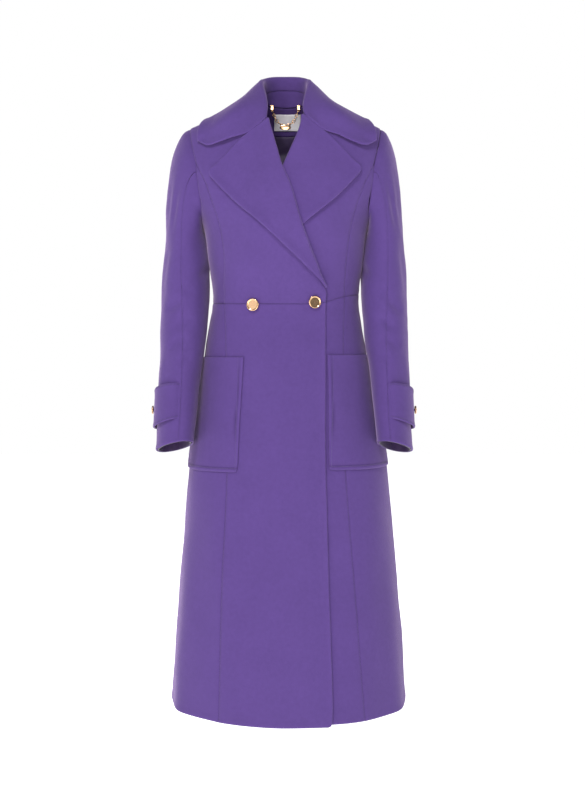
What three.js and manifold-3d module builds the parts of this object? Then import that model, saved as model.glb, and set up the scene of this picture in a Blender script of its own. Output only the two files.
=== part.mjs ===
// Flared long coat, worn form with no wearer. Millimetres, +Z up, +Y towards the back,
// origin at the middle of the neck base. "right" and "left" are the wearer's sides: right is at -X.
import * as THREE from "three";
import { mergeVertices } from "three/addons/utils/BufferGeometryUtils.js";
import Module from "manifold-3d";

const wasm = await Module();
wasm.setup();

// Driving dimensions
const CLOTH = 2.2; // thickness of the coating
const SEAM_GAP = 0.3; // clearance between two pieces that are sewn together
const LAYER_GAP = 0.8; // clearance between two cloth layers that lie on each other
const LINING = 1.2;
const SQUARENESS = 2.4; // exponent of the body's oval sections, 2 is an ellipse
const HEM_Z = -1080;
const WAIST_Z = -358;
const UNDERARM_Z = -215;
const SHOULDER_ROUND_Z = -150; // the fronts and back start to lean in over the shoulders here
const SHOULDER_RIDGE = { atMiddle: 40, fall: 0.442, power: 2.4 };
const NECK_POINT = { x: 54, z: 16.1 }; // where the shoulder seam meets the neck
const BACK_NECK_Z = 9;
const SHOULDER_POINT = { x: 174, z: -36.9 };
const FRONT_EDGE_X = 70; // the fronts overlap by twice this
const HEM_CORNER = 7; // radius of a front's lower corner
const BREAK_Z = -333; // the lapels fold out above this
const OVER_CHEST = 6.3; // how far the outer front stands off, clear of the inner front and lapel
const OVER_SKIRT = 3.3;
const COLLAR_CLOTH = 2.6;
const BUTTON = { radius: 11.2, thickness: 3.2, shankRadius: 2.4, shank: 2.2 };
const CUFF_BUTTON = { radius: 7.5, thickness: 2.6, shankRadius: 1.8, shank: 1.8 };
const CHAIN = {
  x: -0.5, y: 42.6, z: 12, span: 50, drop: 34,
  wire: 0.8, linkLong: 3.6, linkWide: 2.3, pitch: 6.1,
  barWide: 6, barHigh: 9, barDeep: 3,
};

const COLOURS = { coating: 0x6b4ba0, lining: 0x3a2a5c, label: 0xe6e0ee, gold: 0xd9ad78 };
const FINISHES = {
  coating: { color: COLOURS.coating, roughness: 0.92, metalness: 0 },
  lining: { color: COLOURS.lining, roughness: 0.42, metalness: 0 },
  label: { color: COLOURS.label, roughness: 0.6, metalness: 0 },
  gold: { color: COLOURS.gold, roughness: 0.25, metalness: 1 },
};

// Sections of the body: height, half width, the middle's shift to the left, depth to front and back
const SECTIONS = [
  { z: -1080, half: 212, middle: 6.5, front: 186, back: 192 },
  { z: -930, half: 203, middle: 6, front: 174, back: 175 },
  { z: -790, half: 191, middle: 5.5, front: 160, back: 160 },
  { z: -640, half: 178, middle: 4.5, front: 145, back: 142 },
  { z: -560, half: 163, middle: 3, front: 134, back: 129 },
  { z: -457, half: 148, middle: 1, front: 118, back: 110 },
  { z: -402, half: 138, middle: 0, front: 106, back: 94 },
  { z: -358, half: 133, middle: 0, front: 99, back: 85 },
  { z: -330, half: 133.5, middle: 0, front: 101, back: 85 },
  { z: -280, half: 138, middle: 0, front: 112, back: 91 },
  { z: -215, half: 148, middle: 0, front: 122, back: 102 },
  { z: -176, half: 166, middle: 0, front: 118, back: 106 },
  { z: -130, half: 182, middle: 0, front: 110, back: 106 },
  { z: -104, half: 188, middle: 0, front: 104, back: 102 },
  { z: -40, half: 192, middle: 0, front: 98, back: 98 },
  { z: 40, half: 192, middle: 0, front: 98, back: 98 },
];

// Soft flutes of the skirt: angle round the body, width, how far each stands out at the hem, where it starts
const FLUTES = [
  { angle: 22, width: 13, out: 11, top: -520 },
  { angle: 52, width: 15, out: 12, top: -430 },
  { angle: 78, width: 12, out: 9, top: -470 },
  { angle: 104, width: 13, out: 11, top: -440 },
  { angle: 131, width: 15, out: 12, top: -480 },
  { angle: 160, width: 12, out: 8, top: -560 },
  { angle: -28, width: 12, out: 4, top: -620 },
  { angle: -152, width: 13, out: 5, top: -600 },
];

// Front princess seam: height and distance from the middle
const PRINCESS = [
  { z: -1080, x: 125 },
  { z: -900, x: 115 },
  { z: -680, x: 104 },
  { z: -540, x: 101 },
  { z: -450, x: 103 },
  { z: -358, x: 106 },
  { z: -300, x: 107 },
  { z: -250, x: 111 },
  { z: -215, x: 117 },
  { z: -180, x: 128 },
  { z: -140, x: 142 },
  { z: -104, x: 160 },
];

// Front edge of the outer front: straight up to the break, then along the roll line to the neck
const ROLL_LINE = [
  { z: -333, x: 70 },
  { z: -282, x: 56 },
  { z: -205, x: 28 },
  { z: -115, x: -6 },
  { z: -29, x: -32 },
  { z: -12, x: -43 },
  { z: 16.1, x: -54 },
];

const PRINCESS_TOP_Z = -107;

// Armhole in front, from the shoulder point down to just above the underarm
const ARMHOLE = [
  { x: 174, z: -36.9 },
  { x: 168, z: -70 },
  { x: 159, z: -107 },
  { x: 154, z: -150 },
  { x: 150, z: -185 },
];

// Armhole at the back, as angles round the body, from the underarm up
const BACK_ARMHOLE = [
  { angle: 0, z: -215 },
  { angle: 26, z: -185 },
  { angle: 31, z: -150 },
  { angle: 29, z: -104 },
  { angle: 26, z: -70 },
];

// Rings of the right sleeve below its cap. out and depth are half sizes, forward is where the
// middle lies, turn swings the oval to follow the skirt, pitch lifts its front, bank drops its outside.
const SLEEVE_RINGS = [
  { z: -238, x: 189, forward: -2, out: 37, depth: 62, turn: 0, pitch: 0, bank: -4 },
  { z: -300, x: 189, forward: 4, out: 43, depth: 60, turn: 0, pitch: 3, bank: 0 },
  { z: -358, x: 190, forward: 14, out: 43, depth: 57, turn: 3, pitch: 6, bank: 0 },
  { z: -410, x: 192, forward: 27, out: 41, depth: 54, turn: 7, pitch: 10, bank: 2 },
  { z: -465, x: 195, forward: 42, out: 38, depth: 51, turn: 11, pitch: 13, bank: 3 },
  { z: -520, x: 199, forward: 58, out: 35, depth: 48, turn: 15, pitch: 15, bank: 5 },
  { z: -575, x: 202, forward: 73, out: 33, depth: 46, turn: 17, pitch: 15, bank: 8 },
  { z: -618, x: 204, forward: 85, out: 31.5, depth: 44, turn: 17, pitch: 15, bank: 10 },
];
const CAP_STEPS = [0, 0.1, 0.22, 0.36, 0.52, 0.68, 0.84];
const CAP_FULLNESS = 36; // how far the sleeve head stands out past the shoulder point
const SLEEVE_SEAMS = { front: 95, back: 236 }; // angles round the sleeve, 0 is outside, 90 in front

// Right lapel: notch, rounded tip and outer edge down to the break
const LAPEL = {
  top: [
    { x: -32, z: -29 },
    { x: -73, z: -60 },
    { x: -120, z: -107 },
    { x: -130, z: -117 },
    { x: -132.5, z: -123 },
  ],
  edge: [
    { x: -132.5, z: -123 },
    { x: -130.5, z: -130 },
    { x: -122, z: -140 },
    { x: -87, z: -177 },
    { x: -38, z: -218 },
    { x: 3, z: -256 },
    { x: 36, z: -289 },
    { x: 58, z: -312 },
    { x: 67, z: -326 },
  ],
};
const LEFT_LAPEL_RISE = 7; // the left lapel and collar end lie this much higher
const LAPEL_FADE = 60; // the rise fades out over this height above the break

// Right half of the collar, from its front end to the centre back. roll is the top fold, leaf is
// half way down the turned-down part, edge is its outer edge.
const COLLAR = [
  { roll: [-36, -50, 15], leaf: [-92, -74, -14], edge: [-157, -54, -54] },
  { roll: [-43, -6, 50], leaf: [-90, -30, 12], edge: [-149, -16, -19] },
  { roll: [-38, 30, 60.5], leaf: [-82, 50, 26], edge: [-134, 62, -34] },
  { roll: [-22, 50, 67.5], leaf: [-46, 84, 37], edge: [-76, 100, -42] },
  { roll: [0, 56, 69], leaf: [0, 93, 39], edge: [0, 112, -46] },
];
const COLLAR_END = [
  { x: -32, z: -26.5 },
  { x: -73, z: -57.2 },
  { x: -98, z: -63 },
  { x: -128, z: -71 },
  { x: -145, z: -72 },
  { x: -154, z: -65 },
];

const POCKET = { innerX: 74, topZ: -453, bottomZ: -654, sideAngle: 6, corner: 10, topSlant: -3 };
const LEFT_POCKET_RISE = 4;
const TAB = {
  top: -512, bottom: -573,
  flare: 5, point: 4.5, // flare widens the middle, point turns the end's corners in
  start: 93, end: -62, buttonFromEnd: 14, // degrees round the sleeve
  stand: 3.5, // how far the middle bows off the sleeve
};
const LABEL = { x: 3.5, halfWidth: 26, top: -2, bottom: -32, thickness: 0.6 };
const FRONT_BUTTON_X = [-54, 49];

// Small helpers
const radians = THREE.MathUtils.degToRad;
const lerp = THREE.MathUtils.lerp;
const smooth = THREE.MathUtils.smoothstep;
const signedPower = (value, power) => Math.sign(value) * Math.abs(value) ** power;

// A smooth function of height through a table's columns
function byHeight(table, ...columns) {
  const rows = [...table].sort((a, b) => a.z - b.z);
  const heights = rows.map((row) => row.z);
  const values = rows.flatMap((row) => columns.map((column) => row[column]));
  const curve = new THREE.CubicInterpolant(heights, values, columns.length);
  return (z) => Array.from(curve.evaluate(THREE.MathUtils.clamp(z, heights[0], heights.at(-1))));
}

const sectionAt = byHeight(SECTIONS, "half", "middle", "front", "back");
const princessAt = byHeight(PRINCESS, "x");
const rollAt = byHeight(ROLL_LINE, "x");
const frontEdgeAt = (z) => (z < BREAK_Z ? FRONT_EDGE_X : rollAt(z)[0]);

// The body's form. angle is in degrees round the body: -90 front, 0 left side, 90 back, 180 right side.
function shoulderLean(x, z) {
  const { atMiddle, fall, power } = SHOULDER_RIDGE;
  const ridge = atMiddle - fall * Math.abs(x);
  const climb = THREE.MathUtils.clamp((z - SHOULDER_ROUND_Z) / (ridge - SHOULDER_ROUND_Z), 0, 1);
  return (1 - climb ** power) ** (1 / power);
}

function fluteOut(angle, z) {
  let out = 0;
  for (const flute of FLUTES) {
    const turn = THREE.MathUtils.euclideanModulo(angle - flute.angle + 180, 360) - 180;
    const growth = smooth(flute.top - z, 0, flute.top - HEM_Z) ** 1.3;
    out += flute.out * growth * Math.exp(-((turn / flute.width) ** 2) * 1.6);
  }
  return out;
}

function bodyPoint(angle, z) {
  const [half, middle, front, back] = sectionAt(z);
  const cos = Math.cos(radians(angle));
  const sin = Math.sin(radians(angle));
  const side = half * signedPower(cos, 2 / SQUARENESS);
  const lean = shoulderLean(side, z);
  const depth = (sin < 0 ? front : back) * signedPower(sin, 2 / SQUARENESS) * lean;
  const out = fluteOut(angle, z);
  return new THREE.Vector3(middle + side + out * cos, depth + out * sin, z);
}

function bodyNormal(angle, z) {
  const along = bodyPoint(angle + 0.6, z).sub(bodyPoint(angle - 0.6, z));
  const up = bodyPoint(angle, z + 1).sub(bodyPoint(angle, z - 1));
  return along.cross(up).normalize();
}

// The angle whose point on the front, or on the back, has this x
function angleOfX(x, z, onBack = false) {
  const [half, middle] = sectionAt(z);
  const share = THREE.MathUtils.clamp((x - middle) / half, -1, 1);
  const angle = THREE.MathUtils.radToDeg(Math.acos(signedPower(share, SQUARENESS / 2)));
  return onBack ? angle : -angle;
}

// How far the outer front stands off the body's form
const OVERLAP_RAMP = { start: 72, end: 24 };
function overlapLift(x, z) {
  const full = lerp(OVER_SKIRT, OVER_CHEST, smooth(z, BREAK_Z - 40, BREAK_Z + 8));
  const innerEdge = -frontEdgeAt(z);
  return full * smooth(x, innerEdge - OVERLAP_RAMP.start, innerEdge - OVERLAP_RAMP.end);
}

function waistZ(x) {
  return WAIST_Z + 13 * smooth(x, FRONT_EDGE_X, 135);
}

// Charts are [angle, z] pairs. A curve through rows of x and z on the front.
function chartCurve(rows) {
  const curve = new THREE.CatmullRomCurve3(
    rows.map((row) => new THREE.Vector3(row.x, 0, row.z)),
    false,
    "centripetal",
  );
  return (share) => {
    const point = curve.getPointAt(share);
    return [angleOfX(point.x, point.z), point.z];
  };
}

// A curve through chart points
function throughCharts(points) {
  const curve = new THREE.CatmullRomCurve3(
    points.map(([angle, z]) => new THREE.Vector3(angle, 0, z)),
    false,
    "centripetal",
  );
  return (share) => {
    const point = curve.getPointAt(share);
    return [point.x, point.z];
  };
}

// Two curves end to end, the first up to the given share
function joined(first, second, split) {
  return (share) => (share < split ? first(share / split) : second((share - split) / (1 - split)));
}

const line = (from, to) => (share) => [lerp(from[0], to[0], share), lerp(from[1], to[1], share)];

// A patch between four chart curves that share their corners
function patch({ bottom, top, left, right }) {
  return (across, up) => {
    const edges = [bottom(across), top(across), left(up), right(up)];
    const corners = [left(0), right(0), left(1), right(1)];
    return [0, 1].map(
      (k) =>
        (1 - up) * edges[0][k] +
        up * edges[1][k] +
        (1 - across) * edges[2][k] +
        across * edges[3][k] -
        (1 - across) * (1 - up) * corners[0][k] -
        across * (1 - up) * corners[1][k] -
        (1 - across) * up * corners[2][k] -
        across * up * corners[3][k],
    );
  };
}

const evenly = (count) => Array.from({ length: count + 1 }, (_, k) => k / count);

// Two grids of points, one on each face of the cloth, as rows of Vector3
function liftPatch(chart, columns, rows, lift, thickness) {
  const outer = [];
  const inner = [];
  for (const up of rows) {
    const outerRow = [];
    const innerRow = [];
    for (const across of columns) {
      const [angle, z] = chart(across, up);
      const point = bodyPoint(angle, z);
      const normal = bodyNormal(angle, z);
      const base = lift(point.x, z);
      innerRow.push(point.clone().addScaledVector(normal, base));
      outerRow.push(point.clone().addScaledVector(normal, base + thickness));
    }
    outer.push(outerRow);
    inner.push(innerRow);
  }
  return [outer, inner];
}

// A closed wall between two grids. Where round is true the last column meets the first.
function wallGeometry(outer, inner, round = false) {
  const rows = outer.length;
  const columns = outer[0].length;
  const positions = [...outer.flat(), ...inner.flat()].flatMap((point) => point.toArray());
  const index = [];
  const at = (side, row, column) => (side * rows + row) * columns + (column % columns);
  const quad = (a, b, c, d) => index.push(a, b, c, a, c, d);
  const lastColumn = round ? columns : columns - 1;
  for (let row = 0; row < rows - 1; row++) {
    const up = row + 1;
    for (let column = 0; column < lastColumn; column++) {
      const next = column + 1;
      quad(at(0, row, column), at(0, row, next), at(0, up, next), at(0, up, column));
      quad(at(1, row, column), at(1, up, column), at(1, up, next), at(1, row, next));
    }
    if (!round) {
      const end = columns - 1;
      quad(at(0, row, 0), at(0, up, 0), at(1, up, 0), at(1, row, 0));
      quad(at(0, row, end), at(1, row, end), at(1, up, end), at(0, up, end));
    }
  }
  for (let column = 0; column < lastColumn; column++) {
    const end = rows - 1;
    const next = column + 1;
    quad(at(0, 0, column), at(1, 0, column), at(1, 0, next), at(0, 0, next));
    quad(at(0, end, column), at(0, end, next), at(1, end, next), at(1, end, column));
  }
  const geometry = new THREE.BufferGeometry();
  geometry.setAttribute("position", new THREE.Float32BufferAttribute(positions, 3));
  geometry.setIndex(index);
  return facingOut(geometry);
}

// Turns the faces round where the solid came out inside out
function facingOut(geometry) {
  const position = geometry.getAttribute("position");
  const corner = [0, 1, 2].map(() => new THREE.Vector3());
  const index = geometry.index.array;
  let volume = 0;
  for (let k = 0; k < index.length; k += 3) {
    corner.forEach((vector, n) => vector.fromBufferAttribute(position, index[k + n]));
    volume += corner[0].dot(corner[1].clone().cross(corner[2]));
  }
  if (volume < 0) {
    for (let k = 0; k < index.length; k += 3) [index[k], index[k + 1]] = [index[k + 1], index[k]];
  }
  geometry.computeVertexNormals();
  return geometry;
}

const coat = new THREE.Group();

function addPiece(name, geometry, finish, parent = coat) {
  const mesh = new THREE.Mesh(geometry, new THREE.MeshStandardMaterial(FINISHES[finish]));
  mesh.name = name;
  parent.add(mesh);
  return mesh;
}

const flat = () => 0;

function addPanel(name, chart, columns, rows, lift = flat, thickness = CLOTH, finish = "coating") {
  const rowShares = typeof rows === "number" ? evenly(rows) : rows;
  const [outer, inner] = liftPatch(chart, evenly(columns), rowShares, lift, thickness);
  addPiece(name, wallGeometry(outer, inner), finish);
}

// A seam at a fixed angle, or along the princess seam, from one height to another
const SEAM_ANGLE = 0.06; // half the seam gap, as degrees round the body
const SEAM_SHARE = 0.8; // the princess seam takes this share of a front bodice's height
const SEAM_STEPS = 8;
const ridgeRows = [...evenly(SEAM_STEPS).map((share) => share * SEAM_SHARE), 0.87, 0.92, 0.96, 0.985, 1];

function princessSeam(side, from, to, gap) {
  return (share) => {
    const z = lerp(from, to, share);
    return [angleOfX(side * (princessAt(z)[0] + gap), z), z];
  };
}

function chartLine(from, to, onBack = false) {
  return (share) => {
    const z = lerp(from.z, to.z, share);
    return [angleOfX(lerp(from.x, to.x, share), z, onBack), z];
  };
}

// Skirt panels
const SKIRT_TOP_GAP = SEAM_GAP / 2;
const SKIRT_ROWS = 13;

function skirtFront(name, side) {
  const outside = side < 0;
  const top = (x) => waistZ(x) - SKIRT_TOP_GAP;
  const edgeX = -side * FRONT_EDGE_X;
  const seamTop = top(side * 106);
  const seam = princessSeam(side, HEM_Z, seamTop, -SEAM_GAP / 2);
  const edge = chartCurve([
    { x: edgeX + side * HEM_CORNER * 0.3, z: HEM_Z + HEM_CORNER * 0.3 },
    { x: edgeX, z: HEM_Z + HEM_CORNER },
    { x: edgeX, z: -700 },
    { x: edgeX, z: top(edgeX) },
  ]);
  const hemStart = seam(0);
  const hem = (share) => {
    const endAngle = angleOfX(edgeX + side * HEM_CORNER, HEM_Z);
    if (share <= 0.9) return [lerp(hemStart[0], endAngle, share / 0.9), HEM_Z];
    const rest = (share - 0.9) / 0.1;
    return [lerp(endAngle, edge(0)[0], rest), lerp(HEM_Z, edge(0)[1], rest ** 1.6)];
  };
  const waist = (share) => {
    const x = lerp(side * (princessAt(seamTop)[0] - SEAM_GAP / 2), edgeX, share);
    return [angleOfX(x, top(x)), top(x)];
  };
  const chart = patch({ bottom: hem, top: waist, left: seam, right: edge });
  addPanel(name, chart, 9, SKIRT_ROWS, outside ? overlapLift : flat);
}

function skirtSide(name, side) {
  const x = side * 106;
  const seamTop = waistZ(x) - SKIRT_TOP_GAP;
  const sideTop = waistZ(side * 133) - SKIRT_TOP_GAP;
  const sideAngle = side > 0 ? -SEAM_ANGLE : -180 + SEAM_ANGLE;
  const seam = princessSeam(side, HEM_Z, seamTop, SEAM_GAP / 2);
  const sideSeam = line([sideAngle, HEM_Z], [sideAngle, sideTop]);
  const chart = patch({
    bottom: line(seam(0), sideSeam(0)),
    top: line(seam(1), sideSeam(1)),
    left: seam,
    right: sideSeam,
  });
  const lift = side < 0 ? overlapLift : flat;
  addPanel(name, chart, 6, SKIRT_ROWS, lift);
}

function skirtBack(name, side) {
  const sideAngle = side > 0 ? SEAM_ANGLE : 180 - SEAM_ANGLE;
  const middle = 90 - side * SEAM_ANGLE;
  const sideTop = waistZ(side * 133) - SKIRT_TOP_GAP;
  const middleTop = waistZ(0) - SKIRT_TOP_GAP;
  const chart = patch({
    bottom: line([sideAngle, HEM_Z], [middle, HEM_Z]),
    top: (share) => {
      const angle = lerp(sideAngle, middle, share);
      return [angle, waistZ(bodyPoint(angle, WAIST_Z).x) - SKIRT_TOP_GAP];
    },
    left: line([sideAngle, HEM_Z], [sideAngle, sideTop]),
    right: line([middle, HEM_Z], [middle, middleTop]),
  });
  addPanel(name, chart, 12, SKIRT_ROWS);
}

// Bodice panels
// The form is level along its ridge, so this small drop parts the shoulder seam by half a millimetre
const SHOULDER_GAP = 0.00004;

function bodiceFront(name, side) {
  const bottom = (x) => waistZ(x) + SKIRT_TOP_GAP;
  const edgeX = -side * FRONT_EDGE_X;
  const seamBottom = bottom(side * 106);
  const seamX = (z) => side * (princessAt(z)[0] - SEAM_GAP / 2);
  const seam = princessSeam(side, seamBottom, PRINCESS_TOP_Z, -SEAM_GAP / 2);
  const armhole = throughCharts([
    seam(1),
    [angleOfX(side * ARMHOLE[1].x, ARMHOLE[1].z), ARMHOLE[1].z],
    [angleOfX(side * SHOULDER_POINT.x, SHOULDER_POINT.z), SHOULDER_POINT.z - SHOULDER_GAP],
  ]);
  const rollRows = ROLL_LINE.map((row) => ({ x: -side * row.x, z: row.z }));
  rollRows.at(-1).z -= SHOULDER_GAP;
  const edge = chartCurve([{ x: edgeX, z: bottom(edgeX) }, ...rollRows]);
  const waist = (share) => {
    const x = lerp(seamX(seamBottom), edgeX, share);
    return [angleOfX(x, bottom(x)), bottom(x)];
  };
  const shoulder = chartLine(
    { x: side * SHOULDER_POINT.x, z: SHOULDER_POINT.z - SHOULDER_GAP },
    { x: side * NECK_POINT.x, z: NECK_POINT.z - SHOULDER_GAP },
  );
  const left = joined(seam, armhole, SEAM_SHARE);
  const chart = patch({ bottom: waist, top: shoulder, left, right: edge });
  addPanel(name, chart, 9, ridgeRows, side < 0 ? overlapLift : flat);
}

function bodiceSide(name, side) {
  const x = side * 106;
  const seamBottom = waistZ(x) + SKIRT_TOP_GAP;
  const sideBottom = waistZ(side * 133) + SKIRT_TOP_GAP;
  const sideAngle = side > 0 ? -SEAM_ANGLE : -180 + SEAM_ANGLE;
  const seam = princessSeam(side, seamBottom, PRINCESS_TOP_Z, SEAM_GAP / 2);
  const armhole = ARMHOLE.slice(3).map((row) => [angleOfX(side * row.x, row.z), row.z]);
  const top = throughCharts([seam(1), ...armhole, [sideAngle, UNDERARM_Z]]);
  const chart = patch({
    bottom: line(seam(0), [sideAngle, sideBottom]),
    top,
    left: seam,
    right: line([sideAngle, sideBottom], [sideAngle, UNDERARM_Z]),
  });
  addPanel(name, chart, 6, SEAM_STEPS);
}

function bodiceBack(name, side) {
  const around = (angle) => (side > 0 ? angle : 180 - angle);
  const sideBottom = waistZ(side * 133) + SKIRT_TOP_GAP;
  const middleBottom = waistZ(0) + SKIRT_TOP_GAP;
  const middle = 90 - side * SEAM_ANGLE;
  const tip = { x: side * SHOULDER_POINT.x, z: SHOULDER_POINT.z - SHOULDER_GAP };
  const armRows = BACK_ARMHOLE.map((row) => [around(row.angle || SEAM_ANGLE), row.z]);
  const sideSeam = line([around(SEAM_ANGLE), sideBottom], armRows[0]);
  const armhole = throughCharts([...armRows, [angleOfX(tip.x, tip.z, true), tip.z]]);
  const left = joined(sideSeam, armhole, 0.45);
  const shoulderEnd = { x: side * NECK_POINT.x, z: NECK_POINT.z - SHOULDER_GAP };
  const seamShare = 0.66;
  const shoulderLine = chartLine(tip, shoulderEnd, true);
  const neck = (share) => {
    const x = lerp(shoulderEnd.x, side * 0.3, share);
    const z = lerp(BACK_NECK_Z, shoulderEnd.z, (x / shoulderEnd.x) ** 2);
    return [share === 1 ? middle : angleOfX(x, z, true), z];
  };
  const top = joined(shoulderLine, neck, seamShare);
  const chart = patch({
    bottom: (share) => {
      const angle = lerp(around(SEAM_ANGLE), middle, share);
      return [angle, waistZ(bodyPoint(angle, WAIST_Z).x) + SKIRT_TOP_GAP];
    },
    top,
    left,
    right: line([middle, middleBottom], [middle, BACK_NECK_Z]),
  });
  addPanel(name, chart, 12, ridgeRows);
}

// Sleeves. The armhole loop is on the body's form, from the shoulder point down the front and up the back.
function armholePoint(side, angle) {
  const share = THREE.MathUtils.euclideanModulo(angle, 360) / 360;
  const front = ARMHOLE.map((row) => [angleOfX(row.x, row.z), row.z]);
  front.push([0, UNDERARM_Z]);
  const back = BACK_ARMHOLE.slice(1).map((row) => [row.angle, row.z]);
  const closed = new THREE.CatmullRomCurve3(
    [...front, ...back].map(([around, z]) => bodyPoint(around, z)),
    true,
    "centripetal",
  );
  const point = closed.getPointAt(share);
  return new THREE.Vector3(side * point.x, point.y, point.z);
}

const SLEEVE_CLEARANCE = 4.4; // the sleeve's inner face starts this far outside the armhole edge

function sleeveRing(row, side, angle, swell = 0) {
  const around = radians(angle);
  const local = new THREE.Vector3(
    (row.out + swell) * Math.cos(around),
    -(row.depth + swell) * Math.sin(around),
    0,
  );
  local.applyAxisAngle(new THREE.Vector3(0, 0, 1), radians(-row.turn));
  local.z = -local.y * Math.tan(radians(row.pitch)) - local.x * Math.tan(radians(row.bank));
  return new THREE.Vector3(side * (row.x + local.x), -row.forward + local.y, row.z + local.z);
}

function sleevePoint(side, angle, row, swell) {
  if (row >= CAP_STEPS.length) return sleeveRing(SLEEVE_RINGS[row - CAP_STEPS.length], side, angle, swell);
  const share = CAP_STEPS[row];
  const start = armholePoint(side, angle);
  start.x += side * SLEEVE_CLEARANCE;
  const end = sleeveRing(SLEEVE_RINGS[0], side, angle, 0);
  const headness = Math.cos(radians(angle) / 2) ** 2;
  const control = start.clone().lerp(end, 0.14);
  control.x += side * CAP_FULLNESS * headness;
  const path = new THREE.QuadraticBezierCurve3(start, control, end);
  const point = path.getPoint(share);
  const centre = new THREE.Vector3(side * 150, 0, lerp(-125, -238, share));
  const outward = point.clone().sub(centre).normalize();
  return point.addScaledVector(outward, swell);
}

const WHOLE_SLEEVE = { swell: 0, thickness: CLOTH, firstRow: 0, finish: "coating" };

function addSleevePart(name, side, from, to, columns, choices = {}) {
  const { swell, thickness, firstRow, finish } = { ...WHOLE_SLEEVE, ...choices };
  const rowCount = CAP_STEPS.length + SLEEVE_RINGS.length;
  const outer = [];
  const inner = [];
  for (let row = firstRow; row < rowCount; row++) {
    const outerRow = [];
    const innerRow = [];
    for (const share of evenly(columns)) {
      const angle = lerp(from, to, share);
      outerRow.push(sleevePoint(side, angle, row, swell + thickness));
      innerRow.push(sleevePoint(side, angle, row, swell));
    }
    outer.push(outerRow);
    inner.push(innerRow);
  }
  addPiece(name, wallGeometry(outer, inner), finish);
}

skirtFront("skirt_front_right", -1);
skirtFront("skirt_front_left", 1);
skirtSide("skirt_side_right", -1);
skirtSide("skirt_side_left", 1);
skirtBack("skirt_back_right", -1);
skirtBack("skirt_back_left", 1);
bodiceFront("bodice_front_right", -1);
bodiceFront("bodice_front_left", 1);
bodiceSide("bodice_side_right", -1);
bodiceSide("bodice_side_left", 1);
bodiceBack("bodice_back_right", -1);
bodiceBack("bodice_back_left", 1);

for (const [word, side] of [["right", -1], ["left", 1]]) {
  const seamTurn = 0.35;
  const { front, back } = SLEEVE_SEAMS;
  addSleevePart("sleeve_upper_" + word, side, back - 360 + seamTurn, front - seamTurn, 13);
  addSleevePart("sleeve_under_" + word, side, front + seamTurn, back - seamTurn, 8);
}

// Lapels. Each lies on its own front and shares the roll line with it.
const LAPEL_LIFT = CLOTH + LAYER_GAP;

function lapel(name, side) {
  const rise = (z) => (side > 0 ? LEFT_LAPEL_RISE * smooth(z, BREAK_Z, BREAK_Z + LAPEL_FADE) : 0);
  const place = (rows) => rows.map((row) => ({ x: -side * row.x, z: row.z + rise(row.z) }));
  const edge = place([...LAPEL.edge].reverse());
  const top = place([...LAPEL.top].reverse());
  const roll = place([{ x: 69.5, z: -328 }, ...ROLL_LINE.slice(1, 4), LAPEL.top[0]]);
  const start = [angleOfX(edge[0].x, edge[0].z), edge[0].z];
  const end = [angleOfX(roll[0].x, roll[0].z), roll[0].z];
  const chart = patch({
    bottom: line(start, end),
    top: chartCurve(top),
    left: chartCurve(edge),
    right: chartCurve(roll),
  });
  const lift = (x, z) => LAPEL_LIFT + (side < 0 ? overlapLift(x, z) : 0);
  addPanel(name, chart, 7, 14, lift);
}

lapel("lapel_right", -1);
lapel("lapel_left", 1);

// Collar. Its section rises from the stand seam to the roll, turns over and falls to the outer edge.
const FOLD_RADIUS = 2.6;
const RISE_INSIDE = 25; // from the stand seam to the top of the roll at the back
const COLLAR_LIFT = CLOTH + LAYER_GAP;
const LEAF_SHARES = [0.12, 0.3, 0.48, 0.66, 0.84, 1];

function outwardOf(station) {
  return new THREE.Vector3(station.edge[0], station.edge[1], 0).normalize();
}

function collarSection(station, riseInside) {
  const roll = new THREE.Vector3(...station.roll);
  const out = outwardOf(station);
  const at = (outBy, up) => roll.clone().addScaledVector(out, outBy).add(new THREE.Vector3(0, 0, up));
  const fold = [
    at(0, -riseInside),
    at(0, -FOLD_RADIUS),
    at(FOLD_RADIUS, 0),
    at(2 * FOLD_RADIUS, -FOLD_RADIUS),
  ];
  const fall = new THREE.CatmullRomCurve3(
    [fold[3], new THREE.Vector3(...station.leaf), new THREE.Vector3(...station.edge)],
    false,
    "centripetal",
  );
  return [...fold, ...LEAF_SHARES.map((share) => fall.getPointAt(share))];
}

function collarEnd(side) {
  const rise = side > 0 ? LEFT_LAPEL_RISE : 0;
  const rows = COLLAR_END.map((row) => ({ x: -side * row.x, z: row.z + rise }));
  const chart = chartCurve(rows);
  const foldShare = 0.04;
  const shares = [
    ...[0, 0.3, 0.6, 1].map((share) => share * foldShare),
    ...LEAF_SHARES.map((share) => lerp(foldShare, 1, share)),
  ];
  return shares.map((share) => {
    const [angle, z] = chart(share);
    return bodyPoint(angle, z).addScaledVector(bodyNormal(angle, z), COLLAR_LIFT);
  });
}

// Keeps a point of the collar outside the shoulders and fronts beneath it
function clearOfBody(point) {
  const clear = COLLAR_LIFT + 0.6;
  const { atMiddle, fall } = SHOULDER_RIDGE;
  const ridge = atMiddle - fall * Math.abs(point.x) + clear;
  if (point.z > ridge || point.z < -150) return point;
  const onBack = point.y > 0;
  const angle = angleOfX(point.x, Math.min(point.z, ridge - 1), onBack);
  const surface = bodyPoint(angle, point.z - clear);
  if (onBack) point.y = Math.max(point.y, surface.y + clear * 0.8);
  else point.y = Math.min(point.y, surface.y - clear * 0.8);
  return point;
}

function gridNormals(grid) {
  return grid.map((row, j) =>
    row.map((point, i) => {
      const along = row[Math.min(i + 1, row.length - 1)].clone().sub(row[Math.max(i - 1, 0)]);
      const down = grid[Math.min(j + 1, grid.length - 1)][i].clone().sub(grid[Math.max(j - 1, 0)][i]);
      return along.cross(down).normalize();
    }),
  );
}

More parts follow.
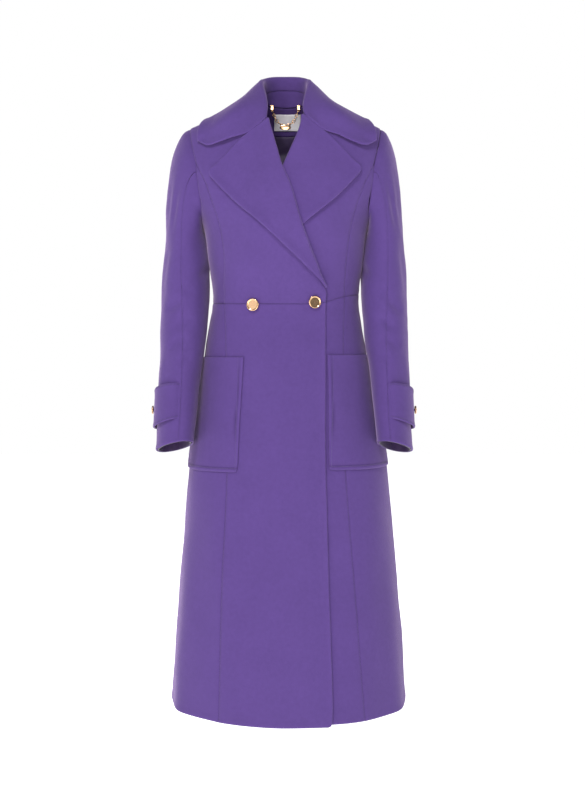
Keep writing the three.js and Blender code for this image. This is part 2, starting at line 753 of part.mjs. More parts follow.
const mirrored = (station) =>
  Object.fromEntries(Object.entries(station).map(([key, [x, y, z]]) => [key, [-x, y, z]]));
const COLLAR_STATIONS = [...COLLAR, ...COLLAR.slice(0, -1).reverse().map(mirrored)];
const RISE_SHARES = [0.25, 0.8, 1, 1, 1, 1, 1, 0.8, 0.25];

const COLLAR_COLUMNS = 26;

function collarGrid(columns) {
  const sections = [
    collarEnd(-1),
    ...COLLAR_STATIONS.map((station, k) => collarSection(station, RISE_INSIDE * RISE_SHARES[k])),
    collarEnd(1),
  ];
  return sections[0].map((_, row) => {
    const stops = sections.map((section) => section[row]);
    const along = new THREE.CatmullRomCurve3(stops, false, "centripetal");
    const points = evenly(columns).map((share) => along.getPoint(share));
    return row > 2 ? points.map(clearOfBody) : points;
  });
}

function collar(name) {
  const grid = collarGrid(COLLAR_COLUMNS);
  const normals = gridNormals(grid);
  const sign = normals.at(-1)[COLLAR_COLUMNS / 2].y > 0 ? 1 : -1;
  const outer = grid.map((row, j) =>
    row.map((point, i) => point.clone().addScaledVector(normals[j][i], sign * COLLAR_CLOTH)),
  );
  addPiece(name, wallGeometry(outer, grid), "coating");
}

collar("collar");

// The point of the neck seam under a point of the collar's inner edge, just inside the body panels
const NECK_INSET = 0.7;
const NECK_FRONT = { y: -46, z: -10 }; // the stand ends near here at each side
const STAND_INSET = 3; // columns of the collar beyond each end of the stand

function neckUnder(point) {
  const side = Math.sign(point.x) || 1;
  if (point.y >= 0) {
    const x = Math.min(Math.abs(point.x), NECK_POINT.x - 1);
    const z = lerp(BACK_NECK_Z, NECK_POINT.z, (x / NECK_POINT.x) ** 2);
    const seam = bodyPoint(angleOfX(x, z, true), z);
    return new THREE.Vector3(side * x, Math.max(seam.y, 0) - NECK_INSET, z - 1.5);
  }
  const z = lerp(NECK_POINT.z, NECK_FRONT.z, THREE.MathUtils.clamp(point.y / NECK_FRONT.y, 0, 1));
  const x = Math.abs(rollAt(z)[0]);
  const seam = bodyPoint(angleOfX(-x, z), z);
  return new THREE.Vector3(side * (x - NECK_INSET - 0.3), seam.y, z - 1.5);
}

// Stand: a band inside the neckline, from the neck seam up to the collar's inner edge
function collarStand(name) {
  const tops = collarGrid(COLLAR_COLUMNS)[0].slice(STAND_INSET, -STAND_INSET);
  const base = [0, 0.5, 1].map((share) =>
    tops.map((top) => neckUnder(top).lerp(top.clone().setZ(top.z - 0.5), share)),
  );
  const inner = base.map((row) =>
    row.map((point) => {
      const inward = new THREE.Vector3(-point.x, -point.y - 20, 0).normalize();
      return point.clone().addScaledVector(inward, CLOTH);
    }),
  );
  addPiece(name, wallGeometry(base, inner), "coating");
}

collarStand("collar_stand");

// Patch pockets lie across the princess seams and reach round to the sides
function pocket(name, side) {
  const rise = side > 0 ? LEFT_POCKET_RISE : 0;
  const { innerX, topZ, bottomZ, sideAngle, corner, topSlant } = POCKET;
  const outerAngle = side > 0 ? -sideAngle : -180 + sideAngle;
  const x = side * innerX;
  const low = bottomZ + rise;
  const high = topZ + rise;
  const inner = chartCurve([
    { x: x + side * (corner * 0.3 + 6), z: low + corner * 0.3 },
    { x: x + side * 5, z: low + corner },
    { x: x + side * 2.5, z: (low + high) / 2 },
    { x, z: high },
  ]);
  const outer = line([outerAngle, low + 6], [outerAngle, high + topSlant]);
  const bottomTurn = [angleOfX(x + side * (corner + 6), low), low];
  const bottom = joined(line(inner(0), bottomTurn), line(bottomTurn, outer(0)), 0.08);
  const chart = patch({ bottom, top: line(inner(1), outer(1)), left: inner, right: outer });
  const lift = (px, z) => CLOTH + LAYER_GAP + (side < 0 ? overlapLift(px, z) : 0);
  addPanel(name, chart, 10, 7, lift);
}

pocket("pocket_right", -1);
pocket("pocket_left", 1);

// Sleeve straps: sewn in the front seam, round the outside and buttoned at the back
const RING_COLUMNS = ["x", "forward", "out", "depth", "turn", "pitch", "bank"];
const ringFor = byHeight(SLEEVE_RINGS, ...RING_COLUMNS);

function ringAt(z) {
  const values = ringFor(z);
  return { z, ...Object.fromEntries(RING_COLUMNS.map((column, k) => [column, values[k]])) };
}

function strapLift(along) {
  return CLOTH + LAYER_GAP + TAB.stand * Math.sin(Math.PI * along);
}

function sleeveStrap(name, side) {
  const { start, end, top, bottom, flare, point } = TAB;
  const grid = (extra) =>
    evenly(4).map((share) =>
      evenly(12).map((along) => {
        const widen = (flare / 2) * Math.sin(Math.PI * along);
        const cornerTurn = point * smooth(along, 0.9, 1) * Math.abs(2 * share - 1);
        const z = lerp(bottom - widen, top + widen, share);
        const angle = lerp(start, end, along) + cornerTurn;
        return sleeveRing(ringAt(z), side, angle, strapLift(along) + extra);
      }),
    );
  addPiece(name, wallGeometry(grid(CLOTH), grid(0)), "coating");
}

// Where the strap's button sits, and the direction it faces
function strapSeat(side) {
  const { start, end, top, bottom, buttonFromEnd } = TAB;
  const angle = end + buttonFromEnd;
  const ring = ringAt((top + bottom) / 2);
  const along = (angle - start) / (end - start);
  const seat = sleeveRing(ring, side, angle, strapLift(along) + CLOTH + 2 * SEAM_GAP);
  const around = radians(angle);
  const outward = new THREE.Vector3(Math.cos(around) / ring.out, -Math.sin(around) / ring.depth, 0);
  outward.applyAxisAngle(new THREE.Vector3(0, 0, 1), radians(-ring.turn));
  outward.x *= side;
  return { seat, outward: outward.normalize() };
}

// A round button with a raised rim, a shallow dished face and a shank
function buttonGeometry({ radius, thickness, shankRadius, shank }) {
  const profile = [
    [0, 0],
    [shankRadius, 0],
    [shankRadius, shank],
    [radius * 0.9, shank + 0.2],
    [radius, shank + thickness * 0.35],
    [radius, shank + thickness * 0.75],
    [radius * 0.94, shank + thickness],
    [radius * 0.82, shank + thickness * 0.82],
    [radius * 0.4, shank + thickness * 0.9],
    [0, shank + thickness * 0.92],
  ].map(([r, h]) => new THREE.Vector2(r, h));
  return new THREE.LatheGeometry(profile, 14);
}

function placeButton(name, size, seat, outward) {
  const geometry = buttonGeometry(size);
  const turn = new THREE.Quaternion().setFromUnitVectors(new THREE.Vector3(0, 1, 0), outward);
  geometry.applyQuaternion(turn).translate(seat.x, seat.y, seat.z);
  addPiece(name, geometry, "gold");
}

for (const [word, side] of [["right", -1], ["left", 1]]) {
  sleeveStrap("sleeve_strap_" + word, side);
  const { seat, outward } = strapSeat(side);
  placeButton("button_cuff_" + word, CUFF_BUTTON, seat, outward);
}
for (const [index, word] of ["right", "left"].entries()) {
  const x = FRONT_BUTTON_X[index];
  const z = WAIST_Z + 2;
  const angle = angleOfX(x, z);
  const outward = bodyNormal(angle, z);
  const seat = bodyPoint(angle, z).addScaledVector(outward, overlapLift(x, z) + CLOTH + 2 * SEAM_GAP);
  placeButton("button_front_" + word, BUTTON, seat, outward);
}

// Inside the neck: facing, label, hanging chain and the lining below them
const FACING_LIFT = -(CLOTH + LAYER_GAP);
const FACING = { halfX: 70, middleTop: 6, endTop: -6, middleBottom: -39, endBottom: -24 };
const BACK_LINING = {
  bottom: -348, sideAngle: 28, topDrop: 1.2, lift: -3.8,
  shoulder: 44, shoulderFall: 1.5, // beyond the facing's ends the lining's top falls to the armholes
};
const CUFF_LINING = { rings: 3, lift: -2.6 };

// Height of a line across the inside of the back, given at its middle and at the facing's ends
function bowed(middle, end) {
  return (x) => lerp(middle, end, Math.min(1, Math.abs(x) / FACING.halfX) ** 2);
}
const facingTop = bowed(FACING.middleTop, FACING.endTop);
const facingBottom = bowed(FACING.middleBottom, FACING.endBottom);

function neckFacing(name) {
  const chart = (across, up) => {
    const x = lerp(-FACING.halfX, FACING.halfX, across);
    const z = lerp(facingBottom(x), facingTop(x), up);
    return [angleOfX(x, z, true), z];
  };
  addPanel(name, chart, 10, 3, () => FACING_LIFT, CLOTH);
}

function backLining(name) {
  const { bottom, sideAngle, topDrop, shoulder, shoulderFall, lift } = BACK_LINING;
  const chart = (across, up) => {
    const low = lerp(180 - sideAngle, sideAngle, across);
    const reach = FACING.halfX + shoulder;
    const x = lerp(-reach, reach, across);
    const beyond = Math.max(0, Math.abs(x) - FACING.halfX);
    const high = facingBottom(x) - topDrop - beyond * shoulderFall;
    return [lerp(low, angleOfX(x, high, true), up), lerp(bottom, high, up)];
  };
  addPanel(name, chart, 12, 8, () => lift, LINING, "lining");
}

function label(name) {
  const { x, halfWidth, top, bottom } = LABEL;
  const chart = (across, up) => {
    const at = lerp(x - halfWidth, x + halfWidth, across);
    const z = lerp(bottom, top, up);
    return [angleOfX(at, z, true), z];
  };
  const lift = FACING_LIFT - LAYER_GAP - LABEL.thickness;
  addPanel(name, chart, 6, 3, () => lift, LABEL.thickness, "label");
}

// The hanging chain: oval links joined on a slack curve between two bars at the neck seam
function solidOf(geometry) {
  const bare = geometry.clone();
  bare.deleteAttribute("normal");
  bare.deleteAttribute("uv");
  const merged = mergeVertices(bare, 1e-4);
  const mesh = new wasm.Mesh({
    numProp: 3,
    vertProperties: merged.attributes.position.array,
    triVerts: new Uint32Array(merged.index.array),
  });
  return new wasm.Manifold(mesh);
}

function geometryOf(solid) {
  const mesh = solid.getMesh();
  const geometry = new THREE.BufferGeometry();
  geometry.setAttribute("position", new THREE.Float32BufferAttribute(mesh.vertProperties, 3));
  geometry.setIndex([...mesh.triVerts]);
  geometry.computeVertexNormals();
  return geometry;
}

function chainCurve() {
  const { span, drop, x, z, y } = CHAIN;
  const points = [-1, -0.85, -0.55, 0, 0.55, 0.85, 1].map((share) => {
    const sag = drop * (1 - Math.abs(share) ** 2.6);
    return new THREE.Vector3(x + (share * span) / 2, y, z - sag);
  });
  return new THREE.CatmullRomCurve3(points, false, "centripetal");
}

function chainLink(curve, share, upright) {
  const { wire, linkLong, linkWide } = CHAIN;
  const at = curve.getPointAt(share);
  const along = new THREE.Vector3(1, 0, 0);
  const turn = new THREE.Quaternion().setFromUnitVectors(along, curve.getTangentAt(share));
  const link = new THREE.TorusGeometry(1, wire / linkWide, 4, 8);
  link.scale(linkLong, linkWide, linkWide);
  link.rotateX(upright ? Math.PI / 2 : 0);
  return link.applyQuaternion(turn).translate(at.x, at.y, at.z);
}

function hangingChain(name) {
  const { pitch, barWide, barHigh, barDeep } = CHAIN;
  const curve = chainCurve();
  const links = Math.round(curve.getLength() / pitch);
  const parts = evenly(links).map((share, k) => chainLink(curve, share, k % 2 === 1));
  for (const end of [curve.getPointAt(0), curve.getPointAt(1)]) {
    const bar = new THREE.BoxGeometry(barWide, barDeep, barHigh);
    parts.push(bar.translate(end.x, end.y + barDeep / 4, end.z + barHigh * 0.4));
  }
  addPiece(name, geometryOf(wasm.Manifold.union(parts.map(solidOf))), "gold");
}

neckFacing("neck_facing");
backLining("lining_back");
label("neck_label");
hangingChain("hanging_chain");
for (const [word, side] of [["right", -1], ["left", 1]]) {
  const { back } = SLEEVE_SEAMS;
  const turn = 1.2;
  addSleevePart("lining_cuff_" + word, side, back - 360 + turn, back - turn, 14, {
    swell: CUFF_LINING.lift,
    thickness: LINING,
    firstRow: CAP_STEPS.length + SLEEVE_RINGS.length - CUFF_LINING.rings,
    finish: "lining",
  });
}

export default coat;
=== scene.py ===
"""Flared long coat: finished cloth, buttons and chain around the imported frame."""

import math

import bpy
import numpy as np
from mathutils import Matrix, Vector


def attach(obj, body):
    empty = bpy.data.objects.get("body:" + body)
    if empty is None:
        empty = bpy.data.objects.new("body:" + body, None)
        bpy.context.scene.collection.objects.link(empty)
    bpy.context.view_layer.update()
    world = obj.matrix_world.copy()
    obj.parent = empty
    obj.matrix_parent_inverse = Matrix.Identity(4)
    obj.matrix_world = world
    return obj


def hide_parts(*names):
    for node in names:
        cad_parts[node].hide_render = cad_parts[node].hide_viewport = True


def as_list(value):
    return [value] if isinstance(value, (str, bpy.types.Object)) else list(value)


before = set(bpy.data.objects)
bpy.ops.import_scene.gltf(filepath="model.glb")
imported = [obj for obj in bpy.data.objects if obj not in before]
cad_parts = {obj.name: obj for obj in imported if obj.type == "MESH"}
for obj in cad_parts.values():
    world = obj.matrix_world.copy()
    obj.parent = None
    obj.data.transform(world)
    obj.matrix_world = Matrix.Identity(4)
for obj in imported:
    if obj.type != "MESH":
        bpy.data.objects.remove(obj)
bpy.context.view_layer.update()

bl_info = {
    "name": "Flared long coat",
    "version": (1, 0, 0),
    "blender": (4, 5, 0),
    "location": "3D View > Sidebar > Coat",
    "description": "Builds the coat's cloth, buttons, chain and stage around its frame",
    "category": "Object",
}

MM = 0.001
RIGHT_LEFT = (("right", -1), ("left", 1))

# The coat's form, in millimetres, from the same named sizes as its solids

CLOTH = 2.2
LAYER_GAP = 0.8
LINING = 1.2
SQUARENESS = 2.4
HEM_Z = -1080
WAIST_Z = -358
WAIST_CLIMB = 18
PRINCESS_WAIST_X, SIDE_WAIST_X = 106, 133
SKIRT_LENGTH = 725
UNDERARM_Z = -215
SHOULDER_ROUND_Z = -150
RIDGE_MIDDLE, RIDGE_FALL, RIDGE_POWER = 40, 0.442, 2.4
NECK_POINT = (54, 16.1)
BACK_NECK_Z = 9
SHOULDER_POINT = (174, -36.9)
FRONT_EDGE_X = 70
HEM_CORNER = 7
OUTER_FLARE = 10  # the outer front's edge swings out by this much at the hem
HEM_DROP = {-1: 6.5, 1: 3}  # the fronts hang this much lower than the back
SEAM_DROP = 3.5
BREAK_Z = -333
OVER_CHEST = 6.3
OVER_SKIRT = 3.3
OVERLAP_RAMP = (72, 24)
OUTER_STAND = 1.7  # the outer front's edge stands off the inner front
COLLAR_CLOTH = 2.6

# Sections of the body: height, half width, shift of the middle, depth to front and back
SECTIONS = (
    (-1080, 212, 6.5, 186, 192),
    (-930, 203, 6, 174, 175),
    (-790, 191, 5.5, 160, 160),
    (-640, 178, 4.5, 145, 142),
    (-560, 163, 3, 134, 129),
    (-457, 148, 1, 118, 110),
    (-402, 138, 0, 106, 94),
    (-358, 131.5, 0, 99, 85),
    (-330, 132.5, 0, 101, 85),
    (-280, 140.5, 0, 112, 91),
    (-215, 150, 0, 122, 102),
    (-176, 166, 0, 118, 106),
    (-130, 182, 0, 110, 106),
    (-104, 188, 0, 104, 102),
    (-40, 192, 0, 98, 98),
    (40, 192, 0, 98, 98),
)
# Flutes of the skirt: angle round the body, width, how far out at the hem, where it starts
FLUTES = (
    (22, 13, 11, -520),
    (52, 15, 12, -430),
    (78, 12, 9, -470),
    (104, 13, 11, -440),
    (131, 15, 12, -480),
    (160, 12, 8, -560),
    (-28, 12, 4, -620),
    (-152, 13, 5, -600),
)
# Front princess seam: height and distance from the middle
PRINCESS = (
    (-1080, 125),
    (-900, 115),
    (-680, 104),
    (-540, 101),
    (-450, 103),
    (-358, 106),
    (-300, 107),
    (-250, 111),
    (-215, 117),
    (-180, 128),
    (-140, 142),
    (-104, 160),
)
PRINCESS_TOP_Z = -107
# How far the skirt's seams hang to the outside: height, wearer's right, wearer's left
SEAM_DRIFT = (
    (-1100, -13, 14),
    (-1080, -12, 13),
    (-900, -6, 9),
    (-680, -3.5, 3),
    (-540, 0, 0),
    (-450, 0, 0),
    (-100, 0, 0),
)
# Roll lines from the break to the neck, outer and inner front: height, and distance past the middle
ROLL_LINES = {
    -1: (
        (-333, 70),
        (-282, 50.5),
        (-245, 36.5),
        (-205, 23),
        (-150, 7),
        (-115, -8),
        (-83, -17),
        (-29, -32),
        (-12, -43),
        (16.1, -54),
    ),
    1: (
        (-333, 70),
        (-282, 56),
        (-205, 33),
        (-150, 14),
        (-121, 1.5),
        (-90, -12),
        (-53, -27),
        (-29, -33),
        (-12, -43),
        (16.1, -54),
    ),
}
# Front armhole as x and z, and back armhole as angle and z
ARMHOLE = ((174, -36.9), (168, -70), (159, -107), (154, -150), (150, -185))
BACK_ARMHOLE = ((0, -215), (26, -185), (31, -150), (29, -104), (26, -70))
# Sleeve rings: height, x, forward, half out, half depth, turn, pitch, bank
SLEEVE_RINGS = (
    (-238, 189, -2, 37, 62, 0, 0, -4),
    (-300, 189, 4, 43, 60, 0, 3, 0),
    (-358, 190, 14, 43, 57, 3, 6, 0),
    (-410, 192, 27, 41, 54, 7, 10, 2),
    (-465, 195, 42, 38, 51, 11, 13, 3),
    (-520, 199, 58, 35, 48, 15, 15, 5),
    (-575, 202, 73, 33, 46, 17, 15, 8),
    (-618, 204, 85, 31.5, 44, 17, 15, 10),
)
SLEEVE_TOP_Z, CUFF_Z = SLEEVE_RINGS[0][0], SLEEVE_RINGS[-1][0]
CAP_CENTRE_X, CAP_CENTRE_Z = 150, -125
CAP_STEPS = (0, 0.1, 0.22, 0.36, 0.52, 0.68, 0.84)
CAP_FULLNESS = {-1: 36, 1: 27}
# Slimmer than the solids, and closer to the body at the armhole and below it
SLEEVE_FIT = {-1: (1.0, 5.2, 5.5), 1: (3.0, 8.2, 8.0)}
CUFF_RISE = 4
SLEEVE_FRONT, SLEEVE_BACK = 84, 236  # seam angles round the sleeve
# Lapel outline as x and z for the outer front
LAPEL_TOP = ((-32, -27.4), (-73, -58.3), (-120, -107), (-130, -117), (-132.5, -123))
LAPEL_EDGE = (
    (-132.5, -123),
    (-130.5, -130),
    (-122, -140),
    (-87, -177),
    (-38, -218),
    (3, -256),
    (36, -289),
    (58, -312),
    (67, -326),
)
LEFT_RISE = 7
LAPEL_FADE = 60
# Right half of the collar, from its front end to the centre back: top fold, middle and outer edge
COLLAR = (
    ((-36, -50, 15), (-92, -74, -14), (-157, -54, -54)),
    ((-43, -6, 50), (-89, -30, 8.5), (-149, -16, -22)),
    ((-38, 30, 60.5), (-81, 50, 23), (-134, 62, -36)),
    ((-22, 50, 67.5), (-46, 84, 37), (-76, 100, -42)),
    ((0, 56, 69), (0, 93, 39), (0, 112, -46)),
)
COLLAR_END = (
    (-32, -26.5),
    (-73, -57.2),
    (-98, -64.5),
    (-117, -71),
    (-138, -75),
    (-149, -72.5),
    (-155, -65.5),
)
RISE_SHARES = (0.25, 0.8, 1, 1, 1, 1, 1, 0.8, 0.25)
LEAF_SHARES = (0.12, 0.3, 0.48, 0.66, 0.84, 1)


def ease(value, low, high):
    """Goes smoothly from 0 at low to 1 at high."""
    share = np.clip((value - low) / (high - low), 0, 1)
    return share * share * (3 - 2 * share)


def mix(a, b, share):
    """From a to b by a share."""
    return a + (b - a) * share


def unit(vectors):
    """The same directions, of length 1."""
    return vectors / np.maximum(np.linalg.norm(vectors, axis=-1, keepdims=True), 1e-12)


def signed_power(value, power):
    """A power that keeps the value's sign."""
    return np.sign(value) * np.abs(value) ** power


def cubic(knots, values, at):
    """A smooth curve through the values at the knots, straight at both ends."""
    knots, values = np.asarray(knots, float), np.asarray(values, float)
    at = np.clip(np.asarray(at, float), knots[0], knots[-1])
    last = len(knots) - 1
    after = np.clip(np.searchsorted(knots, at, side="right"), 1, last)
    before = after - 1
    previous = np.where(before == 0, after, before - 1)
    following = np.where(after == last, before, np.minimum(after + 1, last))
    start, end = knots[before], knots[after]
    half = (end - start) / 2
    pull_back = half / (start - knots[previous])
    pull_on = half / (knots[following] - end)
    p = (at - start) / (end - start)
    pp, ppp = p * p, p * p * p
    weights = (
        -pull_back * ppp + 2 * pull_back * pp - pull_back * p,
        (1 + pull_back) * ppp - (1.5 + 2 * pull_back) * pp + (pull_back - 0.5) * p + 1,
        (-1 - pull_on) * ppp + (1.5 + pull_on) * pp + 0.5 * p,
        pull_on * ppp - pull_on * pp,
    )
    stops = (previous, before, after, following)
    return sum(w[..., None] * values[stop] for w, stop in zip(weights, stops))


def by_height(rows):
    """Smooth functions of height through a table whose first column is the height."""
    table = np.array(sorted(rows), float)
    return lambda z: cubic(table[:, 0], table[:, 1:], z)


section_at = by_height(SECTIONS)
princess_at = by_height(PRINCESS)
drift_at = by_height(SEAM_DRIFT)
roll_at = by_height(ROLL_LINES[-1])
ring_at = by_height(SLEEVE_RINGS)


def smooth_curve(points, closed=False):
    """A centripetal curve through points, as a function of 0 to 1."""
    points = np.asarray(points, float)
    count = len(points)
    ends = (2 * points[0] - points[1], 2 * points[-1] - points[-2])
    padded = np.vstack([ends[0], points, ends[1]])

    def at(share):
        spans = count if closed else count - 1
        place = np.asarray(share, float) * spans
        k = np.floor(place).astype(int)
        if closed:
            p = [points[(k + step) % count] for step in (-1, 0, 1, 2)]
        else:
            k = np.clip(k, 0, count - 2)
            p = [padded[k + step] for step in range(4)]
        w = (place - k)[..., None]
        gaps = [
            np.sum((p[i + 1] - p[i]) ** 2, axis=-1, keepdims=True) ** 0.25 for i in range(3)
        ]
        gaps[1] = np.where(gaps[1] < 1e-4, 1, gaps[1])
        gaps[0] = np.where(gaps[0] < 1e-4, gaps[1], gaps[0])
        gaps[2] = np.where(gaps[2] < 1e-4, gaps[1], gaps[2])
        first, middle, third = gaps
        leave = (p[1] - p[0]) / first - (p[2] - p[0]) / (first + middle) + (p[2] - p[1]) / middle
        arrive = (p[2] - p[1]) / middle - (p[3] - p[1]) / (middle + third) + (p[3] - p[2]) / third
        leave, arrive = leave * middle, arrive * middle
        square = 3 * (p[2] - p[1]) - 2 * leave - arrive
        cube = 2 * (p[1] - p[2]) + leave + arrive
        return p[1] + w * (leave + w * (square + w * cube))

    return at


def path_lengths(points):
    """How far along a path each of its points lies."""
    hops = np.linalg.norm(np.diff(points, axis=0), axis=1)
    return np.concatenate([[0], np.cumsum(hops)])


def on_path(points, lengths, place):
    """The point at a distance along a path."""
    return np.array([np.interp(place, lengths, points[:, axis]) for axis in range(3)])


def evenly(curve, divisions=200):
    """The same curve, as a function of the share of its length."""
    steps = np.linspace(0, 1, divisions + 1)
    lengths = path_lengths(curve(steps))
    return lambda share: curve(np.interp(np.asarray(share) * lengths[-1], lengths, steps))


def shoulder_lean(x, z):
    """The share of the depth that is left on the way up to the shoulders' ridge."""
    ridge = RIDGE_MIDDLE - RIDGE_FALL * np.abs(x)
    climb = np.clip((z - SHOULDER_ROUND_Z) / (ridge - SHOULDER_ROUND_Z), 0, 1)
    return (1 - climb**RIDGE_POWER) ** (1 / RIDGE_POWER)


def flute_out(angle, z):
    """How far the skirt's flutes swing out."""
    out = np.zeros(np.broadcast(angle, z).shape)
    for middle, width, reach, top in FLUTES:
        turn = (angle - middle + 180) % 360 - 180
        growth = ease(top - z, 0, top - HEM_Z) ** 1.3
        out += reach * growth * np.exp(-((turn / width) ** 2) * 1.6)
    return out


def body_point(angle, z):
    """A point on the inner face of the body's cloth, -90 in front, 0 at the left side, 90 behind."""
    angle, z = np.broadcast_arrays(np.asarray(angle, float), np.asarray(z, float))
    half, middle, front, back = np.moveaxis(section_at(z), -1, 0)
    cos, sin = np.cos(np.radians(angle)), np.sin(np.radians(angle))
    side = half * signed_power(cos, 2 / SQUARENESS)
    depth = np.where(sin < 0, front, back) * signed_power(sin, 2 / SQUARENESS)
    depth = depth * shoulder_lean(side, z)
    out = flute_out(angle, z)
    return np.stack([middle + side + out * cos, depth + out * sin, z], axis=-1)


def body_normal(angle, z):
    """The outward direction of the body's form."""
    along = body_point(angle + 0.6, z) - body_point(angle - 0.6, z)
    up = body_point(angle, z + 1.0) - body_point(angle, z - 1.0)
    return unit(np.cross(along, up))


def angle_of_x(x, z, behind=False):
    """The angle round the body of a point this far to the side."""
    half, middle = np.moveaxis(section_at(np.asarray(z, float))[..., :2], -1, 0)
    share = np.clip((x - middle) / half, -1, 1)
    angle = np.degrees(np.arccos(signed_power(share, SQUARENESS / 2)))
    return angle if behind else -angle


def overlap_lift(x, z):
    """How far the outer front stands off, clear of the inner front and lapel."""
    full = mix(OVER_SKIRT, OVER_CHEST, ease(z, BREAK_Z - 40, BREAK_Z + 8))
    edge = np.where(z < BREAK_Z, FRONT_EDGE_X, roll_at(z)[..., 0])
    swing = edge + OUTER_FLARE * ease(-z, 640, -HEM_Z)
    stand_off = OUTER_STAND * np.exp(-(((x - swing) / 9) ** 2)) * ease(BREAK_Z - z, -6, 30)
    return full * ease(x, -edge - OVERLAP_RAMP[0], -edge - OVERLAP_RAMP[1]) + stand_off


def waist_z(x):
    """The waist seam, which climbs towards the left side."""
    return WAIST_Z + WAIST_CLIMB * ease(x, 45, 135)


# Edges of the pieces: functions of 0 to 1 that give angle and height


def stack(angle, z):
    """Pairs of angle and height."""
    return np.stack(np.broadcast_arrays(np.asarray(angle, float), np.asarray(z, float)), axis=-1)


def chart_curve(rows):
    """A smooth edge through points given as x and z on the front."""
    curve = evenly(smooth_curve([(x, 0, z) for x, z in rows]))

    def at(share):
        points = curve(share)
        return stack(angle_of_x(points[..., 0], points[..., 2]), points[..., 2])

    return at


def through_charts(points):
    """A smooth edge through pairs of angle and height."""
    return evenly(smooth_curve(np.asarray(points, float)))


def joined(first, second, split):
    """One edge from two, which meet at the share split."""
    def at(share):
        share = np.asarray(share, float)
        low = first(np.minimum(share / split, 1))
        high = second(np.maximum((share - split) / (1 - split), 0))
        return np.where((share < split)[..., None], low, high)

    return at


def line(start, end):
    """A straight edge."""
    start, end = np.asarray(start, float), np.asarray(end, float)
    return lambda share: mix(start, end, np.asarray(share, float)[..., None])


def patch(bottom, top, left, right):
    """A chart between four edges that share their corners."""

    def at(across, up):
        c = across[None, :, None]
        r = up[:, None, None]
        sides = (1 - c) * left(up)[:, None] + c * right(up)[:, None]
        ends = (1 - r) * bottom(across)[None] + r * top(across)[None]
        corners = [edge(np.array([share]))[0] for edge in (left, right) for share in (0.0, 1.0)]
        low = (1 - c) * corners[0] + c * corners[2]
        high = (1 - c) * corners[1] + c * corners[3]
        return sides + ends - (1 - r) * low - r * high

    return at


# Cloth: a middle surface with a thickness that rolls over at its edges

NEAR_EDGE = (0, 0.4, 1.0, 1.9, 3.2, 4.8, 6.4)  # rows this far from an edge
EDGE_BULK = 0.7  # turned edges are this much thicker on each face
EDGE_TURN = 11  # and over this width
EDGE_ROUND = 2.4
SEAM_DIP = 0.5
SEAM_REACH = 2.0
STITCH_DIP = 0.2
SEAM, FREE, DEEP = 0, 1, -0.4  # a deep seam is drawn in further than the others
PRESSED_RIDGE = 0.22  # the seam's pressed allowances show as a faint ridge beside it
THINNEST = 0.12
FAINT = 0.3  # of a seam's usual depth


def steps(length, step):
    """Shares of a length, close together at both ends."""
    near = np.array(NEAR_EDGE) / length
    count = max(3, round((length - 2 * NEAR_EDGE[-1]) / step))
    between = np.linspace(near[-1], 1 - near[-1], count + 1)[1:-1]
    return np.concatenate([near, between, 1 - near[::-1]])


def side_distances(points):
    """How far each point of a grid is from each of its four sides."""
    across = np.linalg.norm(np.diff(points, axis=1), axis=2)
    up = np.linalg.norm(np.diff(points, axis=0), axis=2)
    left = np.pad(np.cumsum(across, axis=1), ((0, 0), (1, 0)))
    bottom = np.pad(np.cumsum(up, axis=0), ((1, 0), (0, 0)))
    return {
        "left": left,
        "right": left[:, -1:] - left,
        "bottom": bottom,
        "top": bottom[-1:] - bottom,
    }


def grid_normals(points, like=None):
    """Directions square to a grid, on the side of those given."""
    along = np.gradient(points, axis=1)
    up = np.gradient(points, axis=0)
    normals = unit(np.cross(along, up))
    if like is not None:
        sign = np.sign(np.sum(normals * like))
        normals = normals * (sign or 1)
    return normals


